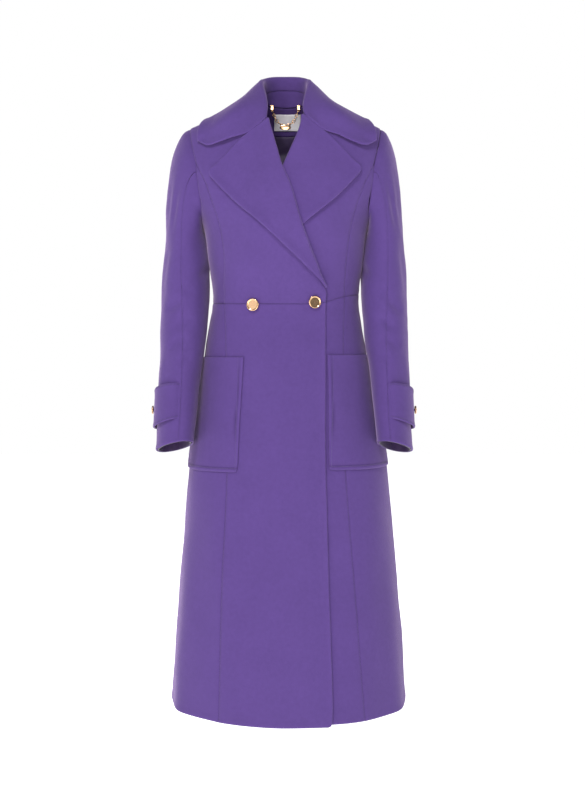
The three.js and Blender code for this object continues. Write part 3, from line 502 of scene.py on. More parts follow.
def cloth_faces(points, normals, thick, edges, sewn_row=0, sewn_sides=(), faint=()):
    """Outer and inner faces of the cloth, and how near each point is to an edge or a seam: masks for
    paler colour at free edges, partly wear and partly painted highlight, and for painted shade in the
    dips of seams and stitches.

    An edge is 1 where it is a turned, free one, 0 where it is sewn to its neighbour and below 0
    where that seam is drawn in further. The sewn row is the grid's row that carries stitches
    along the sewn sides, and the seams of faint sides are shallow.
    """
    distance = side_distances(points)
    outer = np.full(points.shape[:2], thick / 2)
    inner = outer.copy()
    wear_and_highlight, seam_shade = np.zeros(outer.shape), np.zeros(outer.shape)
    loose = {
        side: np.asarray(kind, float).reshape((-1, 1) if side in ("left", "right") else (1, -1))
        for side, kind in edges.items()
    }
    bulk_here = EDGE_BULK * thick / CLOTH
    for side, edge in loose.items():
        far, free = distance[side], np.maximum(edge, 0)
        bulk = free * bulk_here * ease(-far, -EDGE_TURN, -EDGE_TURN / 3)
        outer, inner = np.maximum(outer, thick / 2 + bulk), np.maximum(inner, thick / 2 + bulk / 2)
        # Nearness to a free, turned edge, which is painted paler: partly wear, partly a painted
        # highlight on the rolled edge.
        wear_and_highlight = np.maximum(wear_and_highlight, free * np.exp(-far / 2.2))
        if side in sewn_sides:
            sewn = free * np.exp(-(((far - NEAR_EDGE[sewn_row]) / 0.9) ** 2))
            # The stitch row dips, with painted shade in the dip.
            outer, seam_shade = outer - STITCH_DIP * sewn, np.maximum(seam_shade, 0.6 * sewn)
    for side, free in loose.items():
        far, sewn = distance[side], (1 - free) * (FAINT if side in faint else 1)
        share = np.clip(1 - far / SEAM_REACH, 0, 1)
        ridge = PRESSED_RIDGE * ease(-far, -13, -9) * ease(far, 1.5, 4)
        dip = SEAM_DIP * min(1, thick / CLOTH) * (1 - np.sqrt(1 - share**2))
        outer = outer + sewn * (ridge * thick / CLOTH - dip)
        # Painted shade along the seam's dip.
        seam_shade = np.maximum(seam_shade, 0.45 * sewn * np.exp(-far / 0.9))
    for side, edge in loose.items():
        share = np.clip(1 - distance[side] / EDGE_ROUND, 0, 1)
        round_off = mix(1, np.sqrt(1 - share**2), np.maximum(edge, 0))
        outer, inner = outer * round_off, inner * round_off
    outer, inner = np.maximum(outer, THINNEST), np.maximum(inner, THINNEST)
    return points + normals * outer[..., None], points - normals * inner[..., None], wear_and_highlight, seam_shade


def grid_quads(rows, columns, offset=0, flip=False):
    """The faces of a grid of points."""
    base = offset + np.arange(rows - 1)[:, None] * columns + np.arange(columns - 1)[None]
    quads = np.stack([base, base + 1, base + columns + 1, base + columns], axis=-1).reshape(-1, 4)
    return quads[:, ::-1] if flip else quads


def rim_quads(rows, columns):
    """Joins the two faces round all four sides."""
    count = rows * columns
    loop = [
        *range(columns),
        *range(2 * columns - 1, count, columns),
        *range(count - 2, count - columns - 1, -1),
        *range(count - 2 * columns, 0, -columns),
    ]
    loop = np.array(loop)
    following = np.roll(loop, -1)
    return np.stack([following, loop, loop + count, following + count], axis=-1)


def add_mesh(name, vertices, faces, material, attributes=None):
    """A new object from points in millimetres and a list of faces."""
    mesh = bpy.data.meshes.new(name)
    mesh.from_pydata((np.asarray(vertices) * MM).tolist(), [], faces)
    for key, values in (attributes or {}).items():
        layer = mesh.attributes.new(key, "FLOAT", "POINT")
        layer.data.foreach_set("value", np.asarray(values, np.float32).ravel())
    mesh.polygons.foreach_set("use_smooth", np.ones(len(mesh.polygons), bool))
    mesh.materials.append(material)
    mesh.validate()
    mesh.update()
    piece = bpy.data.objects.new(name, mesh)
    bpy.context.scene.collection.objects.link(piece)
    return piece


def add_cloth(
    name, points, thick, edges, material, like=None, sewn_row=0, sewn_sides=(), faint=()
):
    """A closed thin shell round a grid of points that lie in the middle of the cloth."""
    rows, columns = points.shape[:2]
    normals = grid_normals(points, like)
    outer, inner, wear_and_highlight, seam_shade = cloth_faces(
        points, normals, thick, edges, sewn_row, sewn_sides, faint
    )
    count = rows * columns
    faces = np.vstack(
        [
            grid_quads(rows, columns),
            grid_quads(rows, columns, count, flip=True),
            rim_quads(rows, columns),
        ]
    )
    middle = rows // 2, columns // 2
    along = points[middle[0], middle[1] + 1] - points[middle]
    up = points[middle[0] + 1, middle[1]] - points[middle]
    if np.dot(np.cross(along, up), normals[middle]) < 0:
        faces = faces[:, ::-1]
    vertices = np.vstack([outer.reshape(-1, 3), inner.reshape(-1, 3)])
    # Two masks for the colour: paler towards free edges (partly wear, partly painted highlight) and
    # painted shade in seams and stitch dips.
    attributes = {"wear_and_highlight": np.tile(wear_and_highlight.ravel(), 2), "seam_shade": np.tile(seam_shade.ravel(), 2)}
    return add_mesh(name, vertices, faces.tolist(), material, attributes), outer, normals


# Soft troughs (negative) and ridges of the body's cloth: angle round the body, height, tilt from
# upright, length, width, depth
BODY_FOLDS = (
    (-118, -250, 16, 150, 15, -1.4),
    (-66, -262, -14, 130, 13, -1.2),
    (-126, -180, 32, 120, 11, -1.3),
    (-58, -178, -30, 110, 12, -1.2),
    (-140, -335, 78, 70, 8, -1.0),
    (-40, -330, -76, 74, 9, -1.0),
    (-104, -470, 8, 190, 22, 1.2),
    (-62, -500, -6, 230, 24, 1.1),
    (-92, -760, 2, 420, 30, -1.6),
    (-126, -800, -5, 380, 26, 1.8),
    (-44, -780, 4, 360, 28, 1.5),
    (-74, -900, 3, 300, 22, -1.3),
    (60, -240, 18, 140, 14, -1.4),
    (118, -230, -16, 150, 13, -1.3),
    (90, -330, 84, 90, 8, -0.9),
    (128, -320, 60, 70, 8, -0.9),
    (50, -322, -62, 66, 9, -0.8),
    (75, -520, 4, 180, 16, -1.2),
    (108, -560, -5, 220, 18, -1.1),
)
DEGREE = 2.4  # millimetres of cloth for a degree round the body, near enough for folds
SLEEVE_DEGREE = 0.9
FOLD_DEPTH, SLEEVE_FOLD_DEPTH = 1.6, 2.1
# The same round a sleeve, 0 outside, 90 in front, 180 inside, 270 behind
SLEEVE_FOLDS = (
    (64, -360, 62, 62, 9, -2.6),
    (82, -392, 55, 70, 10, -2.9),
    (70, -425, 58, 60, 9, -2.2),
    (92, -452, 50, 56, 9, -1.8),
    (100, -335, 66, 50, 10, -1.9),
    (30, -300, 8, 150, 14, -1.6),
    (58, -180, 6, 130, 9, -2.0),
    (34, -170, 4, 150, 11, -1.5),
    (330, -210, -8, 160, 13, -1.7),
    (300, -400, -20, 120, 13, -1.4),
    (150, -300, 70, 60, 10, -1.8),
    (20, -480, 10, 90, 12, 1.0),
    (350, -560, -6, 80, 12, -1.0),
)


def folds(table, around, z, degree, whole_turn=360):
    """The height of the listed folds over a surface."""
    total = np.zeros(np.broadcast(around, z).shape)
    for angle, height, tilt, length, width, depth in table:
        turn = (around - angle + whole_turn / 2) % whole_turn - whole_turn / 2
        dx, dz = turn * degree, z - height
        cos, sin = math.cos(math.radians(tilt)), math.sin(math.radians(tilt))
        along, aside = dz * cos + dx * sin, dx * cos - dz * sin
        bend = aside - 0.00035 * along * along * np.sign(tilt + 0.1)
        fade = np.clip(1 - (2 * along / length) ** 2, 0, 1) ** 2
        total += depth * fade * np.exp(-((bend / width) ** 2))
    return total


def waves(points, seed, shortest, longest, height, count=14):
    """A gentle seeded unevenness through space."""
    draw = np.random.default_rng(seed)
    total = np.zeros(points.shape[:-1])
    for _ in range(count):
        direction = unit(draw.normal(size=3))
        length = draw.uniform(shortest, longest)
        total += np.sin(points @ direction * (2 * math.pi / length) + draw.uniform(0, 2 * math.pi))
    return total * height / math.sqrt(count / 2)


def no_lift(x, z):
    """Cloth that lies on the body's form."""
    return np.zeros(np.broadcast(x, z).shape)


def body_relief(angle, z, points):
    """Folds and unevenness of the body's cloth."""
    return (
        FOLD_DEPTH * folds(BODY_FOLDS, angle, z, DEGREE)
        + waves(points, 11, 70, 190, 0.55)
        + waves(points, 12, 18, 45, 0.09)
    )


def body_sheet(chart, size, lift=no_lift, thick=CLOTH, step=6.0, relief=1.0):
    """A grid in the middle of cloth that lies on the body's form, with its outward direction."""
    across, up = steps(size[0], step), steps(size[1], step)
    where = chart(across, up)
    angle, z = where[..., 0], where[..., 1]
    surface = body_point(angle, z)
    normal = body_normal(angle, z)
    height = lift(surface[..., 0], z) + thick / 2 + relief * body_relief(angle, z, surface)
    return surface + normal * height[..., None], normal


# Charts of the pieces, as in the solids

SEAM_GAP = 0.04
SEAM_ANGLE = 0.004
SEAM_SHARE = 0.8


def princess_seam(side, low, high, gap):
    """The front princess seam from one height to another."""
    def at(share):
        z = mix(low, high, np.asarray(share, float))
        x = princess_at(z)[..., 0] + drift_at(z)[..., 0 if side < 0 else 1] + gap
        return stack(angle_of_x(side * x, z), z)

    return at


def straight_x(start, end, behind=False):
    """A straight line between two points given as x and z."""

    def at(share):
        share = np.asarray(share, float)
        x, z = mix(start[0], end[0], share), mix(start[1], end[1], share)
        return stack(angle_of_x(x, z, behind), z)

    return at


def skirt_front_chart(side):
    """The skirt's front, with the rounded corner of its hem."""
    edge_x = -side * FRONT_EDGE_X
    top = lambda x: waist_z(x) - SEAM_GAP / 2
    seam_top = float(top(side * PRINCESS_WAIST_X))
    seam = princess_seam(side, HEM_Z - SEAM_DROP, seam_top, -SEAM_GAP / 2)
    corner, hem_z = HEM_CORNER * 0.3, HEM_Z - HEM_DROP[side]
    flare = OUTER_FLARE if side < 0 else 0
    edge = chart_curve(
        [
            (edge_x + side * corner + flare, hem_z + corner),
            (edge_x + flare, hem_z + HEM_CORNER),
            (edge_x + flare * 0.6, -860),
            (edge_x, -640),
            (edge_x, float(top(edge_x))),
        ]
    )
    start, end = seam(0.0), edge(0.0)
    turn_angle = float(angle_of_x(edge_x + side * HEM_CORNER + flare, hem_z))

    def hem(share):
        share = np.asarray(share, float)
        rest = np.clip((share - 0.9) / 0.1, 0, 1)
        angle = np.where(
            share <= 0.9, mix(start[0], turn_angle, share / 0.9), mix(turn_angle, end[0], rest)
        )
        low = mix(start[1], hem_z, ease(share, 0, 0.6))
        return stack(angle, mix(low, end[1], rest**1.6))

    def waist(share):
        x = mix(side * (float(princess_at(seam_top)[0]) - SEAM_GAP / 2), edge_x, np.asarray(share))
        return stack(angle_of_x(x, top(x)), top(x))

    return patch(hem, waist, seam, edge)


def skirt_side_chart(side):
    seam_top = float(waist_z(side * PRINCESS_WAIST_X)) - SEAM_GAP / 2
    side_top = float(waist_z(side * SIDE_WAIST_X)) - SEAM_GAP / 2
    angle = -SEAM_ANGLE if side > 0 else -180 + SEAM_ANGLE
    seam = princess_seam(side, HEM_Z - SEAM_DROP, seam_top, SEAM_GAP / 2)
    low, high = (angle, HEM_Z), (angle, side_top)
    return patch(line(seam(0.0), low), line(seam(1.0), high), seam, line(low, high))


def round_side(side):
    """Turns an angle on the left side into that of the same place on this side."""
    return (lambda angle: angle) if side > 0 else (lambda angle: 180 - angle)


def back_waist(side, gap):
    """The waist seam behind, from the side seam to the centre back."""
    around = round_side(side)
    middle = 90 - side * SEAM_ANGLE

    def at(share):
        angle = mix(around(SEAM_ANGLE), middle, np.asarray(share, float))
        return stack(angle, waist_z(body_point(angle, WAIST_Z)[..., 0]) + gap)

    return at


def skirt_back_chart(side):
    around = round_side(side)
    middle = 90 - side * SEAM_ANGLE
    waist = back_waist(side, -SEAM_GAP / 2)
    low_side, low_middle = (around(SEAM_ANGLE), HEM_Z), (middle, HEM_Z)
    return patch(
        line(low_side, low_middle), waist, line(low_side, waist(0.0)), line(low_middle, waist(1.0))
    )


def bodice_front_chart(side):
    """The bodice's front, up to the roll line, neck, shoulder and armhole."""
    edge_x = -side * FRONT_EDGE_X
    bottom = lambda x: waist_z(x) + SEAM_GAP / 2
    seam_bottom = float(bottom(side * PRINCESS_WAIST_X))
    seam = princess_seam(side, seam_bottom, PRINCESS_TOP_Z, -SEAM_GAP / 2)
    tip = (side * SHOULDER_POINT[0], SHOULDER_POINT[1])
    neck = (side * NECK_POINT[0], NECK_POINT[1])
    arm_x, arm_z = ARMHOLE[1]
    armhole = through_charts(
        [
            seam(1.0),
            (float(angle_of_x(side * arm_x, arm_z)), arm_z),
            (float(angle_of_x(*tip)), tip[1]),
        ]
    )
    rows = [(edge_x, float(bottom(edge_x)))] + [(-side * x, z) for z, x in ROLL_LINES[side]]
    rows[-1] = neck
    edge = chart_curve(rows)

    def waist(share):
        start = side * (float(princess_at(seam_bottom)[0]) - SEAM_GAP / 2)
        x = mix(start, edge_x, np.asarray(share, float))
        return stack(angle_of_x(x, bottom(x)), bottom(x))

    return patch(waist, straight_x(tip, neck), joined(seam, armhole, SEAM_SHARE), edge)


def bodice_side_chart(side):
    seam_bottom = float(waist_z(side * PRINCESS_WAIST_X)) + SEAM_GAP / 2
    side_bottom = float(waist_z(side * SIDE_WAIST_X)) + SEAM_GAP / 2
    angle = -SEAM_ANGLE if side > 0 else -180 + SEAM_ANGLE
    seam = princess_seam(side, seam_bottom, PRINCESS_TOP_Z, SEAM_GAP / 2)
    arm = [(float(angle_of_x(side * x, z)), z) for x, z in ARMHOLE[3:]]
    top = through_charts([seam(1.0), *arm, (angle, UNDERARM_Z)])
    low, high = (angle, side_bottom), (angle, UNDERARM_Z)
    return patch(line(seam(0.0), low), top, seam, line(low, high))


def bodice_back_chart(side):
    """The bodice's back, up to the neck, shoulder and armhole."""
    around = round_side(side)
    middle = 90 - side * SEAM_ANGLE
    waist = back_waist(side, SEAM_GAP / 2)
    tip = (side * SHOULDER_POINT[0], SHOULDER_POINT[1])
    neck_end = (side * NECK_POINT[0], NECK_POINT[1])
    arm = [(around(angle or SEAM_ANGLE), z) for angle, z in BACK_ARMHOLE]
    armhole = through_charts([*arm, (float(angle_of_x(*tip, True)), tip[1])])
    left = joined(line(waist(0.0), arm[0]), armhole, 0.45)

    def neck(share):
        share = np.asarray(share, float)
        x = mix(neck_end[0], side * 0.3, share)
        z = mix(BACK_NECK_Z, neck_end[1], (x / neck_end[0]) ** 2)
        return stack(np.where(share >= 1, middle, angle_of_x(x, z, True)), z)

    top = joined(straight_x(tip, neck_end, True), neck, 0.66)
    return patch(waist, top, left, line(waist(1.0), (middle, BACK_NECK_Z)))


# Sleeves, collar and the smaller pieces

SLEEVE_INSET = 0.9  # the sleeve's sewn edge stands this far outside the armhole
SLEEVE_CLEARANCE = 4.4


def armhole_points(side, angles):
    """Points of the armhole, by the angle round it."""
    front = [(float(angle_of_x(x, z)), z) for x, z in ARMHOLE] + [(0, UNDERARM_Z)]
    loop = np.array(front + list(BACK_ARMHOLE[1:]), float)
    curve = evenly(smooth_curve(body_point(loop[:, 0], loop[:, 1]), closed=True))
    return curve((np.asarray(angles) % 360) / 360) * (side, 1, 1)


def ring_points(side, angles, z, swell):
    """Points round the sleeve at the height of a ring's middle."""
    angles, z, swell = np.broadcast_arrays(
        np.asarray(angles, float), np.asarray(z, float), np.asarray(swell, float)
    )
    x, forward, out, depth, turn, pitch, bank = np.moveaxis(ring_at(z), -1, 0)
    around, spin = np.radians(angles), np.radians(-turn)
    slim, near_armhole, lower = SLEEVE_FIT[side]
    x, out = x - mix(near_armhole, lower, ease(-z, 240, 330)), out - slim
    local_x, local_y = (out + swell) * np.cos(around), -(depth + swell) * np.sin(around)
    turned_x = local_x * np.cos(spin) - local_y * np.sin(spin)
    turned_y = local_x * np.sin(spin) + local_y * np.cos(spin)
    rise = -turned_y * np.tan(np.radians(pitch)) - turned_x * np.tan(np.radians(bank))
    rise = rise + CUFF_RISE * ease(-z, 575, -CUFF_Z)
    return np.stack([side * (x + turned_x), turned_y - forward, z + rise], axis=-1)


def cap_points(side, angles, share, swell):
    """Points of the sleeve's full cap, from the armhole to its top ring."""
    start = armhole_points(side, angles) + (side * SLEEVE_CLEARANCE, 0, 0)
    end = ring_points(side, angles, SLEEVE_TOP_Z, 0)
    control = mix(start, end, 0.14)
    control[..., 0] += side * CAP_FULLNESS[side] * np.cos(np.radians(angles) / 2) ** 2
    near, far = mix(start, control, share), mix(control, end, share)
    point = mix(near, far, share)
    centre = np.array([side * CAP_CENTRE_X, 0, mix(CAP_CENTRE_Z, SLEEVE_TOP_Z, share)])
    return point + unit(point - centre) * swell


def sleeve_sheet(side, start, end, size, swell, lowest=0, step=5.0):
    """A grid down a sleeve, from its armhole seam to the cuff, between two angles round it."""
    angles = mix(start, end, steps(size[0], step))
    rows = [cap_points(side, angles, share, swell) for share in CAP_STEPS]
    rows += [ring_points(side, angles, ring[0], swell) for ring in SLEEVE_RINGS]
    if lowest:
        rows = rows[lowest:]
    else:
        sewn = armhole_points(side, angles) + (side * SLEEVE_INSET, 0, -0.3)
        rows[0] = mix(sewn, rows[0], 0.12)
    rows = np.array(rows)
    drops = np.linalg.norm(np.diff(rows, axis=0), axis=2).mean(axis=1)
    knots = np.concatenate([[0], np.cumsum(drops)])
    shares = steps(size[1], step)
    points = cubic(knots, rows.reshape(len(rows), -1), shares * knots[-1])
    points = points.reshape(len(shares), len(angles), 3)
    level = np.clip(points[..., 2].mean(axis=1), CUFF_Z, SLEEVE_TOP_Z)[:, None]
    middle = ring_points(side, np.array([0.0, 180.0]), level, 0).mean(axis=1)
    spread = unit(points - middle[:, None])
    around = np.broadcast_to(angles, points.shape[:2])
    relief = SLEEVE_FOLD_DEPTH * folds(SLEEVE_FOLDS, around, points[..., 2], SLEEVE_DEGREE)
    relief = relief + waves(points, 21, 60, 150, 0.5) + waves(points, 22, 18, 40, 0.08)
    settled = ease(shares * size[1], 2, 26)[:, None]
    return points + grid_normals(points, spread) * (relief * settled)[..., None], spread


FOLD_RADIUS = 2.6
RISE_INSIDE = 25
COLLAR_LIFT = CLOTH + LAYER_GAP
EDGE_STAND = 3.8  # collar and lapels stand off the cloth beneath at their outer edges
FOLD_SHARE = 0.04
COLLAR_COLUMNS = 26
COLLAR_LENGTH = 420
LEFT_LOBE = 5  # the left end of the collar reaches this much further out


def collar_section(roll, leaf, edge, rise):
    """The collar across its width: its rise inside, its fold and its leaf."""
    roll, leaf, edge = (np.array(point, float) for point in (roll, leaf, edge))
    out = unit(edge * (1, 1, 0))
    up = np.array([0, 0, 1.0])
    fold = [
        roll - up * rise,
        roll - up * FOLD_RADIUS,
        roll + out * FOLD_RADIUS,
        roll + out * 2 * FOLD_RADIUS - up * FOLD_RADIUS,
    ]
    fall = evenly(smooth_curve([fold[3], leaf, edge]))
    return np.array([*fold, *fall(np.array(LEAF_SHARES))])


def collar_end(side):
    """The collar's front end, which lies on the front beneath it."""
    rows = [
        (-side * x, z + (LEFT_RISE * (1 - float(ease(-x, 80, 140))) if side > 0 else 0))
        for x, z in COLLAR_END
    ]
    chart = chart_curve(rows)
    shares = [share * FOLD_SHARE for share in (0, 0.3, 0.6, 1)]
    shares += [mix(FOLD_SHARE, 1, share) for share in LEAF_SHARES]
    where = chart(np.array(shares))
    angle, z = where[..., 0], where[..., 1]
    return body_point(angle, z) + body_normal(angle, z) * COLLAR_LIFT


def clear_of_body(points):
    """Keeps the collar outside the shoulders and fronts beneath it."""
    clear = COLLAR_LIFT + 0.2
    x, y, z = np.moveaxis(points, -1, 0)
    ridge = RIDGE_MIDDLE - RIDGE_FALL * np.abs(x) + clear
    level = np.minimum(z, ridge - 1)
    behind = y > 0
    angle = np.where(behind, angle_of_x(x, level, True), angle_of_x(x, level))
    surface = body_point(angle, z - clear)[..., 1]
    pushed = np.where(
        behind, np.maximum(y, surface + clear * 0.8), np.minimum(y, surface - clear * 0.8)
    )
    return np.stack([x, np.where((z > ridge) | (z < -150), y, pushed), z], axis=-1)


def collar_rows(places):
    """The collar's rows, from its sewn inner edge over the fold to its outer edge."""
    stations = [np.array(row, float) for row in COLLAR]
    stations += [row * (-1, 1, 1) for row in stations[-2::-1]]
    sections = [collar_end(-1)]
    sections += [collar_section(*row, RISE_INSIDE * s) for row, s in zip(stations, RISE_SHARES)]
    sections = np.array([*sections, collar_end(1)])
    sections[..., 0] += LEFT_LOBE * ease(sections[..., 0], 90, 155)
    rows = [smooth_curve(sections[:, k])(places) for k in range(sections.shape[1])]
    return np.array([clear_of_body(row) if k > 2 else row for k, row in enumerate(rows)])


def collar_sheet():
    """The collar's grid, with its edge standing off the cloth in front."""
    places = steps(COLLAR_LENGTH, 4.0)
    rows = collar_rows(places)
    hops = np.linalg.norm(np.diff(rows, axis=0), axis=2).mean(axis=1)
    knots = np.concatenate([[0], np.cumsum(hops)])
    shares = steps(knots[-1], 3.0)
    points = cubic(knots, rows.reshape(len(rows), -1), shares * knots[-1])
    points = points.reshape(len(shares), len(places), 3)
    outward = points * (1, 1, 0) + (0, 0, 60.0)
    normals = grid_normals(points, outward)
    ripple = waves(points, 31, 60, 140, 0.6) * ease(shares, 0.2, 0.5)[:, None]
    ends = np.minimum(places, 1 - places)[None] * COLLAR_LENGTH
    at_edge = ease(shares, 0.8, 1)[:, None]
    at_ends = np.exp(-((ends / 14) ** 2)) * ease(shares, 0.3, 0.6)[:, None]
    lobes = np.maximum(at_edge, at_ends)
    stand_off = EDGE_STAND * lobes * ease(-points[..., 1], 20, 50)
    return points + normals * (COLLAR_CLOTH / 2 + ripple + stand_off)[..., None], outward


NECK_INSET = 0.7
NECK_FRONT = (-46, -10)
STAND_INSET = 3


def neck_under(tops):
    """The neck seam beneath points of the collar's inner edge."""
    x, y = np.abs(tops[:, 0]), tops[:, 1]
    side = np.where(tops[:, 0] < 0, -1, 1)
    back_x = np.minimum(x, NECK_POINT[0] - 1)
    back_z = mix(BACK_NECK_Z, NECK_POINT[1], (back_x / NECK_POINT[0]) ** 2)
    back_y = body_point(angle_of_x(back_x, back_z, True), back_z)[:, 1]
    back_z = back_z + mix(-1.5, 3.0, ease(y, 0, 20))
    back = np.stack([side * back_x, np.maximum(back_y, 0) - NECK_INSET, back_z], axis=-1)
    front_z = mix(NECK_POINT[1], NECK_FRONT[1], np.clip(y / NECK_FRONT[0], 0, 1))
    front_x = np.abs(roll_at(front_z)[:, 0])
    front_y = body_point(angle_of_x(-front_x, front_z), front_z)[:, 1]
    front = np.stack([side * (front_x - NECK_INSET - 0.3), front_y, front_z - 1.5], axis=-1)
    return np.where((y >= 0)[:, None], back, front)


def stand_sheet():
    """The stand inside the neck, from its seam up to the collar."""
    ends = STAND_INSET / COLLAR_COLUMNS
    tops = collar_rows(mix(ends, 1 - ends, steps(200, 4.0)))[0]
    base = neck_under(tops)
    share = steps(40, 3.0)[:, None, None]
    points = mix(base, tops - (0, 0, 0.5), share)
    inward = unit(np.stack([-points[..., 0], -points[..., 1] - 20, 0 * points[..., 0]], axis=-1))
    return points + inward * CLOTH / 2, inward


LAPEL_LIFT = CLOTH + LAYER_GAP
ROLL_RADIUS = 2.4
ROLL_PUFF = 26  # the lapel rises towards its fold over this width
LAPEL_WIDTH, LAPEL_LENGTH = 95, 290
LAPEL_FOOT = (69.5, -328)  # where its fold begins, above the break
STAND_WIDTH = 11  # its edge stands off over this width


def lapel_sheet(side):
    """A lapel with its soft fold, which ends on the inner face of the front beneath it."""

    def place(rows):
        lift = lambda z: LEFT_RISE * float(ease(z, BREAK_Z, BREAK_Z + LAPEL_FADE)) * (side > 0)
        return [(-side * x, z + lift(z)) for x, z in rows]

    edge, top = place(LAPEL_EDGE[::-1]), place(LAPEL_TOP[::-1])
    between = [(x, z) for z, x in ROLL_LINES[side] if -300 < z < -50]
    roll = place([LAPEL_FOOT, *between, LAPEL_TOP[0]])
    ends = [(float(angle_of_x(*rows[0])), rows[0][1]) for rows in (edge, roll)]
    chart = patch(line(*ends), chart_curve(top), chart_curve(edge), chart_curve(roll))
    across, up = steps(LAPEL_WIDTH, 3.2), steps(LAPEL_LENGTH, 3.6)
    where = chart(across, up)
    angle, z = where[..., 0], where[..., 1]
    surface, normal = body_point(angle, z), body_normal(angle, z)
    under = overlap_lift(surface[..., 0], z) if side < 0 else np.zeros(z.shape)
    radius = mix(0.9, ROLL_RADIUS, ease(z, BREAK_Z + 4, BREAK_Z + 60))
    crest = CLOTH / 2 + 2 * radius
    flat = LAPEL_LIFT + CLOTH / 2
    from_roll = side_distances(surface)["right"]
    puff = np.exp(-((from_roll / ROLL_PUFF) ** 2) * 2.2)
    height = under + flat + (crest - flat) * puff + 0.85 * body_relief(angle, z, surface)
    shown = ease(surface[..., 0] - roll_at(z)[..., 0], 2, 22) if side > 0 else 1
    from_edge = side_distances(surface)["left"]
    height = height + EDGE_STAND * shown * np.exp(-((from_edge / STAND_WIDTH) ** 2))
    leaf = surface + normal * height[..., None]
    last, away = surface[:, -1], unit(surface[:, -1] - surface[:, -4])
    turns = np.radians(np.linspace(18, 150, 7))
    r, rim_normal = radius[:, -1:, None], normal[:, -1:]
    middle = last[:, None] + rim_normal * (under[:, -1:, None] + CLOTH / 2 + r)
    cos, sin = np.cos(turns)[None, :, None], np.sin(turns)[None, :, None]
    rolled = middle + rim_normal * r * cos + away[:, None] * r * sin
    points = np.concatenate([leaf, rolled], axis=1)
    like = np.concatenate([normal, rim_normal * cos + away[:, None] * sin], axis=1)
    return points, like


POCKET_TOP, POCKET_BOTTOM = -453, -654
POCKET_INNER = {-1: (82, 71), 1: (77.5, 73.5)}  # inner edge at the bottom and at the top
POCKET_SIDE, POCKET_CORNER, POCKET_SLANT, POCKET_RISE, POCKET_SAG = 6, 4, -3, 4, 3


def pocket_chart(side):
    """A patch pocket, wider below, with its corner rounded."""
    rise = POCKET_RISE if side > 0 else 0
    outer_angle = -POCKET_SIDE if side > 0 else -180 + POCKET_SIDE
    low, high = POCKET_BOTTOM + rise, POCKET_TOP + rise
    low_x, high_x = POCKET_INNER[side]
    corner = POCKET_CORNER
    inner = chart_curve(
        [
            (side * (low_x + corner * 0.3), low + corner * 0.3),
            (side * low_x, low + corner),
            (side * (low_x + high_x) / 2, (low + high) / 2),
            (side * high_x, high),
        ]
    )
    outer = line((outer_angle, low - POCKET_SAG), (outer_angle, high + POCKET_SLANT))
    turn = (float(angle_of_x(side * (low_x + corner), low)), low)
    bottom = joined(line(inner(0.0), turn), line(turn, outer(0.0)), 0.08)
    return patch(bottom, line(inner(1.0), outer(1.0)), inner, outer)


def pocket_lift(side):
    """How high a pocket lies on the skirt."""
    return lambda x, z: CLOTH + LAYER_GAP + (overlap_lift(x, z) if side < 0 else 0 * x)


STRAP_TOP, STRAP_BOTTOM, STRAP_FLARE, STRAP_POINT = -512, -573, 5, 4.5
STRAP_START, STRAP_END, STRAP_BUTTON, STRAP_STAND = 82, -62, 36, 3.5
STRAP_SUNK = -1.0  # where its end goes into the sleeve's seam


def strap_lift(along):
    """A strap's height over the sleeve, from its sunk end."""
    stand = CLOTH + LAYER_GAP + STRAP_STAND * np.sin(math.pi * along)
    return mix(STRAP_SUNK, stand, ease(along, 0, 0.14))


def strap_sheet(side):
    """A strap round the cuff, with its end in a blunt point."""
    along, share = steps(150, 3.0)[None, :], steps(70, 3.0)[:, None]
    widen = STRAP_FLARE / 2 * np.sin(math.pi * along)
    turn = STRAP_POINT * ease(along, 0.9, 1) * np.abs(2 * share - 1)
    z = mix(STRAP_BOTTOM - widen, STRAP_TOP + widen, share)
    angle = mix(STRAP_START, STRAP_END, along) + turn
    points = ring_points(side, angle, z, strap_lift(along) + CLOTH / 2)
    middle = ring_points(side, np.array([0.0, 180.0]), -540, 0).mean(axis=0)
    return points, points - middle


FACING_LIFT = -(CLOTH + LAYER_GAP)
FACING_HALF = 70
LINING_BOTTOM, LINING_SIDE, LINING_DROP, LINING_LIFT = -348, 28, 1.2, -3.8
LINING_SHOULDER, LINING_FALL = 44, 1.5
LABEL_X, LABEL_HALF, LABEL_TOP, LABEL_BOTTOM, LABEL_THICK = 3.5, 26, 2, -28, 0.6


def facing_edge(middle, end):
    """An edge of the neck facing that curves from its middle."""
    return lambda x: mix(middle, end, np.minimum(1, np.abs(x) / FACING_HALF) ** 2)


facing_bottom = facing_edge(-39, -24)


def facing_top(x):
    ridge = RIDGE_MIDDLE - RIDGE_FALL * np.abs(x)
    return np.minimum(11 + 4 * (x / NECK_POINT[0]) ** 2, ridge - 3.5)


def facing_chart(across, up):
    """The facing behind the neck."""
    x = mix(-FACING_HALF, FACING_HALF, across)[None, :]
    z = mix(facing_bottom(x), facing_top(x), up[:, None])
    return stack(angle_of_x(x, z, True), z)


def lining_chart(across, up):
    """The back lining below the facing, nearly from side to side."""
    across, up = across[None, :], up[:, None]
    reach = FACING_HALF + LINING_SHOULDER
    x = mix(-reach, reach, across)
    beyond = np.maximum(0, np.abs(x) - FACING_HALF)
    high = facing_bottom(x) - LINING_DROP - beyond * LINING_FALL
    low = mix(180 - LINING_SIDE, LINING_SIDE, across)
    return stack(mix(low, angle_of_x(x, high, True), up), mix(LINING_BOTTOM, high, up))


def label_chart(across, up):
    """The bare label at the middle of the facing."""
    x = mix(LABEL_X - LABEL_HALF, LABEL_X + LABEL_HALF, across)[None, :]
    z = mix(LABEL_BOTTOM, LABEL_TOP, up)[:, None]
    return stack(angle_of_x(x, z, True), z)


# Buttons, chain and stitches

